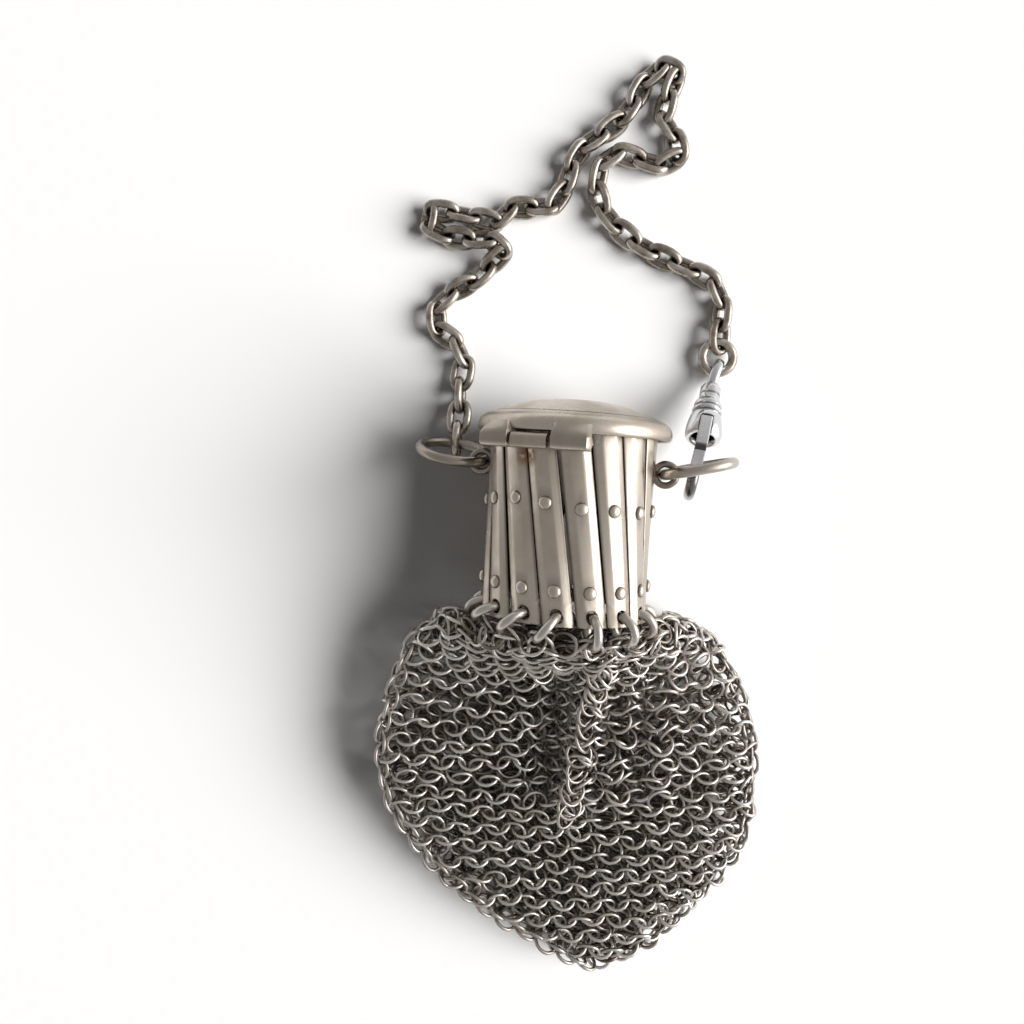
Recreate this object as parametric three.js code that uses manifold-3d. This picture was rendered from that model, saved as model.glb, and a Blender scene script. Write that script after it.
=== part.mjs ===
import * as THREE from "three";
import { mergeVertices } from "three/addons/utils/BufferGeometryUtils.js";
import Module from "manifold-3d";

const wasm = await Module();
wasm.setup();

// Sizes in millimetres, angles in degrees.
// The purse lies on its back, +Z up, with the lid and chain towards +Y.
const GAP = 0.3;

// Collar: a ring of crossed slats riveted in two rows below the lid.
const SLATS = 14;
const COLLAR_AT = { x: 9.54, y: 2.0, z: 16.0, turn: -4.0 };
const FIRST_SLAT = 6.0;
const FRONT_DROOP = 0.5;
const RIVET_ROW = 12.5;
const TWIST = 3.5;
const OUTER_SLAT = { width: 5.5, edge: 0.45, crest: 0.85, flat: 2.7, top: 12.4, bottom: -17.9, base: 12.92 };
const INNER_SLAT = { width: 4.6, thick: 0.7, top: 12.3, bottom: -14.0, face: 12.3, waist: 12.05 };
const RIVET = { shank: 0.5, head: 1.1, dome: 0.5, back: 10.9, hole: 0.9, sides: 5 };
const RING_HOLE = { height: -16.3, radius: 1.05 };

// Mail rings: wire rings between the slats and the pouch's rim.
const MAIL_RING = { mean: 2.3, wire: 1.25, frontLean: -8, backLean: 16 };

// Lid and hinge.
const LID = { radius: 16.0, wall: 0.75, rim: 10.75, crease: 14.3, dome: 3.3, sides: 20 };
const HINGE = { angle: -27, radius: 15.7, height: 9.3, barrel: 1.1, bore: 0.7, pin: 0.4 };
const KNUCKLES = { start: -9.3, first: -3.8, second: 2.9, end: 10.2 };
const LID_PLATE = { low: 9.5, high: 11.9, outer: 16.1 };
const TAB = { width: 3.4, low: 7.4, high: 10.1, inner: 13.3 };

// Side eyes and jump rings.
const EYE = { mean: 1.8, wire: 0.9, out: 1.75, height: 6.1 };
const JUMP_RING = { mean: 5.95, wire: 1.65 };
const LEFT_RING = { x: -9.85, y: 10.85, z: 9.6, yaw: -10, pitch: 15 };
const RIGHT_RING = { x: 30.5, y: 7.92, z: 16.97, yaw: 10, pitch: 0 };

// Swivel clasp, from the hook's end to the swivel's end.
const CLASP_FROM = { x: 30.1, y: 2.6, z: 14.6 };
const CLASP_TO = { x: 36.7, y: 27.6, z: 1.0 };
const HOOK = { half: 2.9, wire: 1.6, end: 0.85, tip: 4.4, root: 13.2 };
const LEVER = { tip: 4.9, pivot: 13.6, rise: 1.2, thick: 1.2, bore: 0.65, pin: 0.35 };
const SLOT = { from: 11.6, to: 15.6, floor: -0.4, width: 1.8 };
const SWIVEL = { mean: 2.0, wire: 1.1, at: 26.0, shank: 0.85, bore: 1.15, inner: 21.3 };

// Chain: its end links, the run between them and the round ring at its end.
const LINK = { width: 4.9, wire: 1.25, leftRoll: 90, rightRoll: 60 };
const RUN = { diameter: 3.2, sides: 8, pieces: 4, steps: 14 };
const END_RING = { mean: 2.6, wire: 1.25, x: 36.75, y: 27.75, z: 2.1 };

// Pouch wall.
const WALL = 2.2;
const RIM_WALL = 1.4;
const POUCH_TOP = 20;
const POUCH_UNDER = 10;

const radians = THREE.MathUtils.degToRad;

// Named columns for a table of rows.
function table(columns, rows) {
  return rows.map((row) => Object.fromEntries(columns.map((name, i) => [name, row[i]])));
}

// A closed geometry as a solid facing out.
function solid(geometry) {
  const bare = new THREE.BufferGeometry();
  bare.setAttribute("position", geometry.getAttribute("position").clone());
  if (geometry.index) bare.setIndex(geometry.index.clone());
  const merged = mergeVertices(bare, 1e-4);
  const corners = [];
  const index = merged.index.array;
  for (let i = 0; i < index.length; i += 3) {
    const [a, b, c] = [index[i], index[i + 1], index[i + 2]];
    if (a !== b && b !== c && c !== a) corners.push(a, b, c);
  }
  const vertProperties = merged.attributes.position.array;
  const faces = new Uint32Array(corners);
  const made = new wasm.Manifold(new wasm.Mesh({ numProp: 3, vertProperties, triVerts: faces }));
  if (made.volume() > 0) return made;
  for (let i = 0; i < faces.length; i += 3) {
    [faces[i + 1], faces[i + 2]] = [faces[i + 2], faces[i + 1]];
  }
  return new wasm.Manifold(new wasm.Mesh({ numProp: 3, vertProperties, triVerts: faces }));
}

// A solid as a geometry for a mesh.
function shell(body) {
  const mesh = body.getMesh();
  const geometry = new THREE.BufferGeometry();
  const points = new Float32Array(mesh.numVert * 3);
  for (let i = 0; i < mesh.numVert; i += 1) {
    for (let axis = 0; axis < 3; axis += 1) {
      points[i * 3 + axis] = mesh.vertProperties[i * mesh.numProp + axis];
    }
  }
  geometry.setAttribute("position", new THREE.BufferAttribute(points, 3));
  geometry.setIndex(new THREE.BufferAttribute(new Uint32Array(mesh.triVerts), 1));
  geometry.computeVertexNormals();
  return geometry;
}

// A skin over closed loops of equal count.
// Both ends are closed by a fan about their middle or a corner.
function loft(loops, corner = -1) {
  const around = loops[0].length;
  const points = loops.flat();
  const faces = [];
  for (let i = 0; i + 1 < loops.length; i += 1) {
    for (let j = 0; j < around; j += 1) {
      const a = i * around + j;
      const b = i * around + ((j + 1) % around);
      faces.push(a, b, b + around, a, b + around, a + around);
    }
  }
  for (const end of [0, loops.length - 1]) {
    const middle = new THREE.Vector3();
    loops[end].forEach((point) => middle.addScaledVector(point, 1 / around));
    if (corner < 0) points.push(middle);
    const hub = corner < 0 ? points.length - 1 : end * around + corner;
    for (let j = 0; j < around; j += 1) {
      const a = end * around + j;
      const b = end * around + ((j + 1) % around);
      if (a !== hub && b !== hub) faces.push(...(end === 0 ? [b, a, hub] : [a, b, hub]));
    }
  }
  const geometry = new THREE.BufferGeometry().setFromPoints(points);
  geometry.setIndex(faces);
  return solid(geometry);
}

// A turned solid about its own axis, which is laid along a direction.
function turned(profile, sides, at, along) {
  const shape = profile.map(([radius, height]) => new THREE.Vector2(radius, height));
  const geometry = new THREE.LatheGeometry(shape, sides, Math.PI / 7);
  const spin = new THREE.Quaternion().setFromUnitVectors(new THREE.Vector3(0, 1, 0), along);
  geometry.applyQuaternion(spin);
  geometry.translate(at.x, at.y, at.z);
  return solid(geometry);
}

// A plain round bar along a direction.
function bar(radius, from, to, sides, at, along) {
  return turned([[0, from], [radius, from], [radius, to], [0, to]], sides, at, along);
}

// A round bar of one section swept along a path.
function swept(points, radius, sides, steps) {
  const section = new THREE.Shape();
  for (let i = 0; i < sides; i += 1) {
    const turn = (2 * Math.PI * i) / sides;
    const [x, y] = [radius * Math.cos(turn), radius * Math.sin(turn)];
    if (i === 0) section.moveTo(x, y);
    else section.lineTo(x, y);
  }
  section.closePath();
  const path = new THREE.CatmullRomCurve3(points);
  return solid(new THREE.ExtrudeGeometry(section, { steps, bevelEnabled: false, extrudePath: path }));
}

// A wire ring whose hole looks along a direction.
function ring(mean, wire, at, facing, sides = 12, wireSides = 5) {
  const geometry = new THREE.TorusGeometry(mean, wire / 2, wireSides, sides);
  const spin = new THREE.Quaternion().setFromUnitVectors(new THREE.Vector3(0, 0, 1), facing);
  geometry.applyQuaternion(spin);
  geometry.translate(at.x, at.y, at.z);
  return solid(geometry);
}

// A box between two corners of a frame of three directions.
function block(frame, low, high) {
  const size = [0, 1, 2].map((i) => high[i] - low[i]);
  const geometry = new THREE.BoxGeometry(...size);
  geometry.translate(...[0, 1, 2].map((i) => (high[i] + low[i]) / 2));
  geometry.applyMatrix4(frame);
  return solid(geometry);
}

const purse = new THREE.Group();
const metals = {
  nickel: { color: 0x9a9186, roughness: 0.42 },
  mail: { color: 0x8d8b88, roughness: 0.38 },
  chain: { color: 0x7d746a, roughness: 0.4 },
  chrome: { color: 0xb9bcc0, roughness: 0.18 },
};

function piece(name, body, metal) {
  const look = { ...metals[metal], metalness: 1 };
  const mesh = new THREE.Mesh(shell(body), new THREE.MeshStandardMaterial(look));
  mesh.name = name;
  purse.add(mesh);
  return mesh;
}

// Collar frame: +Y along the collar to the lid, angle 0 at the top, growing to +X.
const collarFrame = new THREE.Matrix4().makeRotationZ(radians(COLLAR_AT.turn));
collarFrame.setPosition(COLLAR_AT.x, COLLAR_AT.y, COLLAR_AT.z);

function collarPoint(angle, radius, height) {
  const turn = radians(angle);
  const drop = FRONT_DROOP * Math.cos(turn);
  const local = new THREE.Vector3(radius * Math.sin(turn), height - drop, radius * Math.cos(turn));
  return local.applyMatrix4(collarFrame);
}

function collarDirection(angle, along = 0) {
  const turn = radians(angle);
  const cross = Math.cos(radians(along));
  const local = new THREE.Vector3(cross * Math.sin(turn), Math.sin(radians(along)), cross * Math.cos(turn));
  return local.transformDirection(collarFrame);
}

const STEP = 360 / SLATS;
const outerAngle = (k, height) => FIRST_SLAT + k * STEP - (STEP / 2 - TWIST) * (height / RIVET_ROW);
const innerAngle = (k, height) => FIRST_SLAT + k * STEP + (STEP / 2 + TWIST) * (height / RIVET_ROW);
const rivetHeights = [-RIVET_ROW, 0];

// The middle of an outer slat's back at a height: the slat is straight between its ends.
function outerMiddle(k, height) {
  const share = (height - OUTER_SLAT.bottom) / (OUTER_SLAT.top - OUTER_SLAT.bottom);
  const low = radians(outerAngle(k, OUTER_SLAT.bottom));
  const high = radians(outerAngle(k, OUTER_SLAT.top));
  const x = THREE.MathUtils.lerp(Math.sin(low), Math.sin(high), share);
  const z = THREE.MathUtils.lerp(Math.cos(low), Math.cos(high), share);
  const radius = OUTER_SLAT.base * Math.hypot(x, z);
  return { angle: THREE.MathUtils.radToDeg(Math.atan2(x, z)), radius };
}

// One slat: a flat section of (across, out) points set at each stop along the collar.
function slat(section, stops) {
  const loops = stops.map((stop) => section.map(([across, out]) => {
    const turn = THREE.MathUtils.radToDeg(Math.atan2(across, stop.base + out));
    return collarPoint(stop.angle + turn, Math.hypot(across, stop.base + out), stop.height);
  }));
  return loft(loops, 0);
}

const outerHalf = OUTER_SLAT.width / 2;
const outerSection = [
  [-outerHalf, 0],
  [outerHalf, 0],
  [outerHalf, OUTER_SLAT.edge],
  [OUTER_SLAT.flat / 2, OUTER_SLAT.crest],
  [-OUTER_SLAT.flat / 2, OUTER_SLAT.crest],
  [-outerHalf, OUTER_SLAT.edge],
];
const innerHalf = INNER_SLAT.width / 2;
const innerSection = [
  [-innerHalf, -INNER_SLAT.thick],
  [innerHalf, -INNER_SLAT.thick],
  [innerHalf, 0],
  [-innerHalf, 0],
];

// A rivet: a shank through both slats with a bevelled front head.
function rivet(k, height) {
  const { angle, radius } = outerMiddle(k, height);
  const at = collarPoint(angle, 0, height);
  const crest = radius + OUTER_SLAT.crest;
  const profile = [
    [0, RIVET.back],
    [RIVET.shank, RIVET.back],
    [RIVET.shank, crest - 0.2],
    [RIVET.head, crest - 0.2],
    [RIVET.head * 0.62, crest + RIVET.dome],
    [0, crest + RIVET.dome],
  ];
  return turned(profile, RIVET.sides, at, collarDirection(angle));
}

// Hinge frame: X along the barrel, Y along the collar, Z outwards.
const barrelAlong = collarDirection(HINGE.angle + 90);
const barrelOut = collarDirection(HINGE.angle);
const barrelUp = collarDirection(0, 90);
const barrelAt = new THREE.Vector3(0, HINGE.height, 0).applyMatrix4(collarFrame);
barrelAt.addScaledVector(barrelOut, HINGE.radius);
const hingeFrame = new THREE.Matrix4().makeBasis(barrelAlong, barrelUp, barrelOut);
hingeFrame.setPosition(barrelAt);

function knuckle(from, to) {
  return bar(HINGE.barrel, from, to, 10, barrelAt, barrelAlong);
}
const barrelBore = bar(HINGE.bore, KNUCKLES.start - 1, KNUCKLES.end + 1, 6, barrelAt, barrelAlong);

const HINGE_SLAT = -1;
const EYE_SLATS = { 3: "right", "-4": "left" };

for (let i = 0; i < SLATS; i += 1) {
  const k = i - SLATS / 2 + 1;
  const label = String(i + 1).padStart(2, "0");
  const stops = [OUTER_SLAT.bottom, OUTER_SLAT.top].map((height) => {
    return { height, angle: outerAngle(k, height), base: OUTER_SLAT.base };
  });
  let body = slat(outerSection, stops);
  const hole = outerMiddle(k, RING_HOLE.height);
  const holeAt = collarPoint(hole.angle, 0, RING_HOLE.height);
  body = body.subtract(bar(RING_HOLE.radius, 10, 16, 6, holeAt, collarDirection(hole.angle)));
  for (const height of rivetHeights) body = body.add(rivet(k, height));
  if (k === HINGE_SLAT) {
    const low = [-TAB.width / 2, TAB.low - HINGE.height, TAB.inner - HINGE.radius];
    const high = [TAB.width / 2, TAB.high - HINGE.height, -0.2];
    body = body.add(block(hingeFrame, low, high));
    body = body.add(knuckle(KNUCKLES.first + GAP, KNUCKLES.second - GAP));
    body = body.subtract(barrelBore);
  }
  if (EYE_SLATS[k]) {
    const { angle, radius } = outerMiddle(k, EYE.height);
    const at = collarPoint(angle, radius + OUTER_SLAT.crest + EYE.out, EYE.height);
    body = body.add(ring(EYE.mean, EYE.wire, at, collarDirection(angle + 90), 10, 5));
  }
  piece("slat_outer_" + label, body, "nickel");
}

// Inner slats: the rivets of two neighbouring outer slats go through each.
for (let i = 0; i < SLATS; i += 1) {
  const k = i - SLATS / 2 + 1;
  const label = String(i + 1).padStart(2, "0");
  const stops = [INNER_SLAT.bottom, 0, INNER_SLAT.top].map((height) => {
    const base = height === 0 ? INNER_SLAT.waist : INNER_SLAT.face;
    return { height, angle: innerAngle(k, height), base };
  });
  let body = slat(innerSection, stops);
  rivetHeights.forEach((height, row) => {
    const { angle } = outerMiddle(k + row - 1, height);
    const at = collarPoint(angle, 0, height);
    body = body.subtract(bar(RIVET.hole, 10, 14, RIVET.sides, at, collarDirection(angle)));
  });
  piece("slat_inner_" + label, body, "nickel");
}

// Mail rings: each goes through its slat's hole and round the rim of the pouch.
const ringFeet = [];
for (let i = 0; i < SLATS; i += 1) {
  const k = i - SLATS / 2 + 1;
  const { angle, radius } = outerMiddle(k, RING_HOLE.height);
  const front = (1 + Math.cos(radians(angle))) / 2;
  const lean = THREE.MathUtils.lerp(MAIL_RING.backLean, MAIL_RING.frontLean, front);
  const reach = MAIL_RING.mean * Math.cos(radians(lean));
  const middle = radius + OUTER_SLAT.crest / 2 - MAIL_RING.mean * Math.sin(radians(lean));
  const at = collarPoint(angle, middle, RING_HOLE.height - reach);
  ringFeet.push({ angle, height: RING_HOLE.height - 2 * reach });
  const label = String(i + 1).padStart(2, "0");
  const body = ring(MAIL_RING.mean, MAIL_RING.wire, at, collarDirection(angle + 90), 10, 5);
  piece("mail_ring_" + label, body, "nickel");
}

// Lid: a turned cup with a rolled rim, a rounded band, a crease and a dome.
function domeHeight(radius, base, rise) {
  const ball = (base * base + rise * rise) / (2 * rise);
  return Math.sqrt(ball * ball - radius * radius) - (ball - rise);
}
const creaseRadius = LID.radius - 1.1;
const lidOuter = [
  [LID.radius - 0.9, LID.rim],
  [LID.radius, LID.rim + 0.9],
  [LID.radius, LID.crease - 1.0],
  [LID.radius - 0.4, LID.crease - 0.2],
  [creaseRadius, LID.crease],
];
const lidInner = [];
for (const share of [0.7, 0.35, 0]) {
  const radius = creaseRadius * share;
  const height = LID.crease + domeHeight(radius, creaseRadius, LID.dome);
  lidOuter.push([radius, height]);
  lidInner.unshift([radius, height - LID.wall]);
}
lidInner.push([LID.radius - 1.6, LID.crease - LID.wall]);
lidInner.push([LID.radius - LID.wall, LID.crease - 1.6]);
const lidAt = new THREE.Vector3().applyMatrix4(collarFrame);
let lid = turned([...lidOuter, ...lidInner, lidOuter[0]], LID.sides, lidAt, barrelUp);
const cavity = bar(LID.radius - LID.wall, 0, 20, LID.sides, lidAt, barrelUp);
for (const [from, to] of [
  [KNUCKLES.start, KNUCKLES.first],
  [KNUCKLES.second, KNUCKLES.end],
]) {
  const low = [from, LID_PLATE.low - HINGE.height, -6];
  const high = [to, LID_PLATE.high - HINGE.height, LID_PLATE.outer - HINGE.radius];
  lid = lid.add(block(hingeFrame, low, high).subtract(cavity));
  lid = lid.add(knuckle(from, to));
}
lid = lid.subtract(barrelBore);
piece("lid", lid, "nickel");

const pin = bar(HINGE.pin, KNUCKLES.start - 0.15, KNUCKLES.end + 0.15, 6, barrelAt, barrelAlong);
piece("hinge_pin", pin, "nickel");

// Jump rings through the side eyes.
function ringFacing(place) {
  const turn = new THREE.Euler(radians(place.pitch), 0, radians(place.yaw), "ZXY");
  return new THREE.Vector3(0, 1, 0).applyEuler(turn);
}
for (const [side, place] of [
  ["left", LEFT_RING],
  ["right", RIGHT_RING],
]) {
  const body = ring(JUMP_RING.mean, JUMP_RING.wire, place, ringFacing(place), 16, 6);
  piece("jump_ring_" + side, body, "nickel");
}

// Clasp frame: X across, Y from the hook's end to the swivel, Z up.
const claspFrom = new THREE.Vector3(CLASP_FROM.x, CLASP_FROM.y, CLASP_FROM.z);
const claspAlong = new THREE.Vector3(CLASP_TO.x, CLASP_TO.y, CLASP_TO.z).sub(claspFrom).normalize();
const claspAcross = new THREE.Vector3().crossVectors(claspAlong, new THREE.Vector3(0, 0, 1)).normalize();
const claspUp = new THREE.Vector3().crossVectors(claspAcross, claspAlong);
const claspFrame = new THREE.Matrix4().makeBasis(claspAcross, claspAlong, claspUp);
claspFrame.setPosition(claspFrom);
const inClasp = (across, along, up) => new THREE.Vector3(across, along, up).applyMatrix4(claspFrame);

const bellProfile = [
  [0, 12.1],
  [2.3, 12.1],
  [2.65, 12.7],
  [2.65, 16.3],
  [2.15, 17.7],
  [2.15, 19.2],
  [1.65, 19.9],
  [1.65, 23.0],
  [0, 23.0],
];
let clasp = turned(bellProfile, 12, claspFrom, claspAlong);
const slotLow = [-SLOT.width / 2, SLOT.from, SLOT.floor];
const slotHigh = [SLOT.width / 2, SLOT.to, 4];
clasp = clasp.subtract(block(claspFrame, slotLow, slotHigh));
clasp = clasp.subtract(bar(SWIVEL.bore, SWIVEL.inner, 24, 8, claspFrom, claspAlong));
const hookRound = HOOK.half + HOOK.end;
const hookPath = [
  inClasp(0, HOOK.root, -1.5),
  inClasp(0, HOOK.root - 2.0, -HOOK.half),
  inClasp(0, hookRound + 1.5, -HOOK.half),
  inClasp(0, HOOK.end + 0.75, -HOOK.half * 0.75),
  inClasp(0, HOOK.end, 0),
  inClasp(0, HOOK.end + 0.75, HOOK.half * 0.75),
  inClasp(0, HOOK.tip, HOOK.half),
];
clasp = clasp.add(swept(hookPath, HOOK.wire / 2, 6, 10));
clasp = clasp.add(bar(LEVER.pin, -2.2, 2.2, 6, inClasp(0, LEVER.pivot, LEVER.rise), claspAcross));
piece("clasp_body", clasp, "chrome");

// Lever: a flat bar on its pin, with a thumb tab standing out of the slot.
const leverShape = new THREE.Shape();
leverShape.moveTo(LEVER.tip, HOOK.half - 0.6);
leverShape.lineTo(LEVER.pivot - 1.6, HOOK.half - 1.6);
leverShape.lineTo(LEVER.pivot - 0.7, LEVER.rise - 1.1);
leverShape.lineTo(LEVER.pivot + 0.7, LEVER.rise - 1.1);
leverShape.lineTo(LEVER.pivot + 1.2, LEVER.rise);
leverShape.lineTo(LEVER.pivot + 0.9, LEVER.rise + 2.3);
leverShape.lineTo(LEVER.pivot - 0.2, LEVER.rise + 2.3);
leverShape.lineTo(LEVER.pivot - 0.9, HOOK.half + 0.5);
leverShape.lineTo(LEVER.tip, HOOK.half + 0.6);
leverShape.closePath();
const leverDepth = { depth: LEVER.thick, bevelEnabled: false, steps: 1 };
const leverGeometry = new THREE.ExtrudeGeometry(leverShape, leverDepth);
leverGeometry.translate(0, 0, -LEVER.thick / 2);
const leverTurn = new THREE.Matrix4().makeBasis(claspAlong, claspUp, claspAcross.clone());
leverTurn.setPosition(claspFrom);
leverGeometry.applyMatrix4(leverTurn);
let lever = solid(leverGeometry);
lever = lever.subtract(bar(LEVER.bore, -2, 2, 8, inClasp(0, LEVER.pivot, LEVER.rise), claspAcross));
piece("clasp_lever", lever, "chrome");

// Swivel eye: a ring standing on a shank that turns in the neck.
const eyeStart = SWIVEL.at - SWIVEL.mean;
let swivel = ring(SWIVEL.mean, SWIVEL.wire, inClasp(0, SWIVEL.at, 0), claspAcross, 12, 6);
swivel = swivel.add(bar(SWIVEL.shank, SWIVEL.inner + GAP, eyeStart + 0.2, 8, claspFrom, claspAlong));
piece("clasp_eye", swivel, "chrome");

// Chain: the route of its links from the left jump ring to the end ring.
const ROUTE = table(["x", "y", "z"], [
  [-9.9, 11.2, 4.1],
  [-9.7, 15.1, 3.4],
  [-9.2, 19.4, 2.4],
  [-9.0, 23.9, 2.0],
  [-8.4, 28.4, 1.8],
  [-11.2, 31.2, 1.8],
  [-12.5, 35.8, 1.8],
  [-9.1, 40.1, 1.8],
  [-5.2, 42.8, 1.8],
  [-2.0, 45.0, 2.2],
  [-4.0, 47.0, 3.6],
  [-8.2, 47.9, 3.0],
  [-12.4, 48.6, 1.8],
  [-15.6, 51.8, 1.8],
  [-12.4, 53.4, 1.8],
  [-8.2, 52.2, 2.0],
  [-4.6, 51.2, 2.0],
  [-1.0, 52.6, 2.0],
  [3.0, 53.4, 1.8],
  [6.6, 54.4, 1.8],
  [8.8, 57.6, 1.8],
  [10.6, 61.0, 1.8],
  [13.5, 65.0, 1.8],
  [18.2, 68.0, 1.8],
  [21.4, 71.6, 1.8],
  [24.4, 76.4, 1.8],
  [27.8, 78.2, 2.0],
  [29.0, 75.2, 2.4],
  [27.4, 72.0, 2.0],
  [27.4, 68.2, 1.8],
  [29.6, 65.2, 1.8],
  [28.0, 61.6, 2.2],
  [23.6, 61.9, 2.0],
  [18.6, 63.4, 2.2],
  [15.6, 59.4, 2.0],
  [16.2, 53.6, 1.8],
  [21.0, 48.7, 1.8],
  [28.6, 44.7, 1.8],
  [35.4, 41.6, 1.8],
  [37.6, 37.2, 1.9],
  [37.3, 33.35, 2.1],
  [36.95, 29.45, 2.25],
]);
const stops = ROUTE.map((row) => new THREE.Vector3(row.x, row.y, row.z));
const route = new THREE.CatmullRomCurve3(stops);
const routeLength = route.getLength();
const linkReach = stops[0].distanceTo(stops[1]) + LINK.wire + GAP;

// The run of links as a round bar, swept in pieces that join where the chain lies across itself.
let run = null;
for (let i = 0; i < RUN.pieces; i += 1) {
  const from = linkReach / routeLength;
  const to = 1 - linkReach / routeLength;
  const points = [];
  for (let j = 0; j <= RUN.steps; j += 1) {
    const share = Math.min(1, (i + (j * 1.02) / RUN.steps) / RUN.pieces);
    points.push(route.getPointAt(from + (to - from) * share));
  }
  const body = swept(points, RUN.diameter / 2, RUN.sides, RUN.steps);
  run = run ? run.add(body) : body;
}
piece("chain", run, "chain");

// One oval link lying from a point to another, rolled about its length.
function chainLink(from, to, roll) {
  const mean = (LINK.width - LINK.wire) / 2;
  const stretch = (from.distanceTo(to) + LINK.wire) / 2 - mean;
  const geometry = new THREE.TorusGeometry(mean, LINK.wire / 2, 6, 12);
  const points = geometry.getAttribute("position");
  for (let i = 0; i < points.count; i += 1) {
    const side = Math.abs(points.getX(i)) < 1e-3 ? 0 : Math.sign(points.getX(i));
    points.setX(i, points.getX(i) + side * stretch);
  }
  const along = to.clone().sub(from).normalize();
  const flat = new THREE.Vector3().crossVectors(new THREE.Vector3(0, 0, 1), along).normalize();
  const upright = new THREE.Vector3().crossVectors(along, flat);
  const frame = new THREE.Matrix4().makeBasis(along, flat, upright);
  geometry.rotateX(radians(roll));
  geometry.applyMatrix4(frame.setPosition(from.clone().add(to).multiplyScalar(0.5)));
  return solid(geometry);
}
piece("chain_link_left", chainLink(stops[0], stops[1], LINK.leftRoll), "chain");
const lastStops = stops.slice(-2);
piece("chain_link_right", chainLink(lastStops[0], lastStops[1], LINK.rightRoll), "chain");

// The chain's round end ring lies level, held up by the swivel eye and the last link.
const endRing = ring(END_RING.mean, END_RING.wire, END_RING, new THREE.Vector3(0, 0, 1), 14, 6);
piece("chain_ring", endRing, "chain");

// Pouch: sections from the collar's mouth to the tip.
// y at the middle, half width, bottom, top and edge height, lift of the two sides.
const SECTIONS = table(["y", "middle", "half", "bottom", "top", "edge", "lift", "turn", "inset"], [
  [-16.85, 8.24, 13.85, 2.1, 29.8, 16.0, 0, -4, 0],
  [-19.3, 8.08, 14.1, 1.7, 29.4, 15.6, 0, -4, 0],
  [-21.0, 8.1, 19.5, 0.6, 27.0, 11.0, 3.6, -3, 1.3],
  [-23.0, 8.5, 22.6, 0.0, 23.0, 8.0, 4.5, -2, 1.7],
  [-26.0, 9.0, 27.0, 0.0, 18.0, 6.4, 4.0, -1, 1.2],
  [-31.0, 9.6, 31.0, 0.0, 14.2, 5.4, 2.0, 0, 0.4],
  [-40.0, 10.0, 34.0, 0.0, 12.0, 5.0, 0, 0, 0],
  [-49.0, 9.9, 33.9, 0.0, 11.2, 4.8, 0, 0, 0],
  [-56.5, 10.9, 31.9, 0.0, 10.4, 4.6, 0, 0, 0],
  [-64.0, 11.6, 27.4, 0.0, 9.4, 4.4, 0, 0, 0],
  [-71.2, 12.4, 20.0, 0.0, 8.6, 4.2, 0, 0, 0],
  [-76.0, 14.6, 13.4, 0.0, 7.8, 3.8, 0, 0, 0],
  [-80.0, 15.6, 7.0, 0.2, 6.8, 3.4, 0, 0, 0],
  [-82.6, 15.9, 2.4, 1.2, 5.2, 3.2, 0, 0, 0],
]);

// Ridges and valleys of the upper side, each along a line seen from above.
const FOLDS = table(["x0", "y0", "x1", "y1", "height", "spread"], [
  [16.6, -25, 10.8, -56, 3.0, 2.6],
  [12.0, -25, 6.4, -48, -2.6, 2.8],
  [23.6, -26, 24.6, -58, 1.5, 3.6],
  [19.6, -30, 17.6, -52, -1.2, 2.2],
  [-4.0, -27, -8.0, -44, 0.9, 4.0],
]);

function foldHeight(x, y) {
  let height = 0;
  for (const fold of FOLDS) {
    const along = (y - fold.y0) / (fold.y1 - fold.y0);
    const line = fold.x0 + (fold.x1 - fold.x0) * along;
    const start = THREE.MathUtils.smoothstep(along, -0.12, 0.2);
    const end = 1 - THREE.MathUtils.smoothstep(along, 0.75, 1.15);
    height += fold.height * start * end * Math.exp(-(((x - line) / fold.spread) ** 2));
  }
  return height;
}

// Where a section's points stand: across from -1 to 1, and up or down from its edge.
const sectionPoints = [];
for (let i = 0; i < POUCH_TOP; i += 1) {
  const share = i / POUCH_TOP;
  const across = 0.55 * (1 - 2 * share) + 0.45 * Math.cos(Math.PI * share);
  sectionPoints.push({ across, rise: Math.sqrt(1 - across * across) });
}
for (let i = 0; i < POUCH_UNDER; i += 1) {
  const across = -Math.cos((Math.PI * i) / POUCH_UNDER);
  sectionPoints.push({ across, rise: -((1 - across ** 4) ** 0.25), round: -Math.sqrt(1 - across * across) });
}

// One closed section loop, pulled in by a wall.
function sectionLoop(row, wall) {
  const half = row.half - wall;
  const turn = radians(row.turn);
  const steep = wall > 0 ? 1 + 0.5 * row.inset : 0;
  return sectionPoints.map(({ across, rise, round }) => {
    const reach = rise >= 0 ? row.top - row.edge - wall * steep : row.edge - row.bottom - wall;
    const x = row.middle + half * across * Math.cos(turn);
    const inset = wall > 0 ? row.inset : 0;
    const y = row.y + half * across * Math.sin(turn) + (row.lift - inset) * across * across;
    const lower = THREE.MathUtils.lerp(rise, round ?? rise, row.turn / -4);
    const fold = rise > 0 ? foldHeight(x, y) * Math.sqrt(rise) : 0;
    return new THREE.Vector3(x, y, row.edge + lower * Math.max(reach, 0.2) + fold);
  });
}

const outside = SECTIONS.map((row) => sectionLoop(row, 0));
const insideRows = SECTIONS.slice(0, -2).map((row, i) => ({ ...row, wall: i < 2 ? RIM_WALL : WALL }));
const inside = insideRows.map((row) => sectionLoop(row, row.wall));
const mouth = inside[0].map((point) => point.clone().add(new THREE.Vector3(0, 2, 0)));
let pouch = loft(outside).subtract(loft([mouth, ...inside]));
for (const foot of ringFeet) {
  const at = collarPoint(foot.angle, 0, foot.height);
  pouch = pouch.subtract(bar(MAIL_RING.wire / 2 + 0.95, 9, 18, 5, at, collarDirection(foot.angle)));
}
piece("pouch", pouch, "mail");

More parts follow.
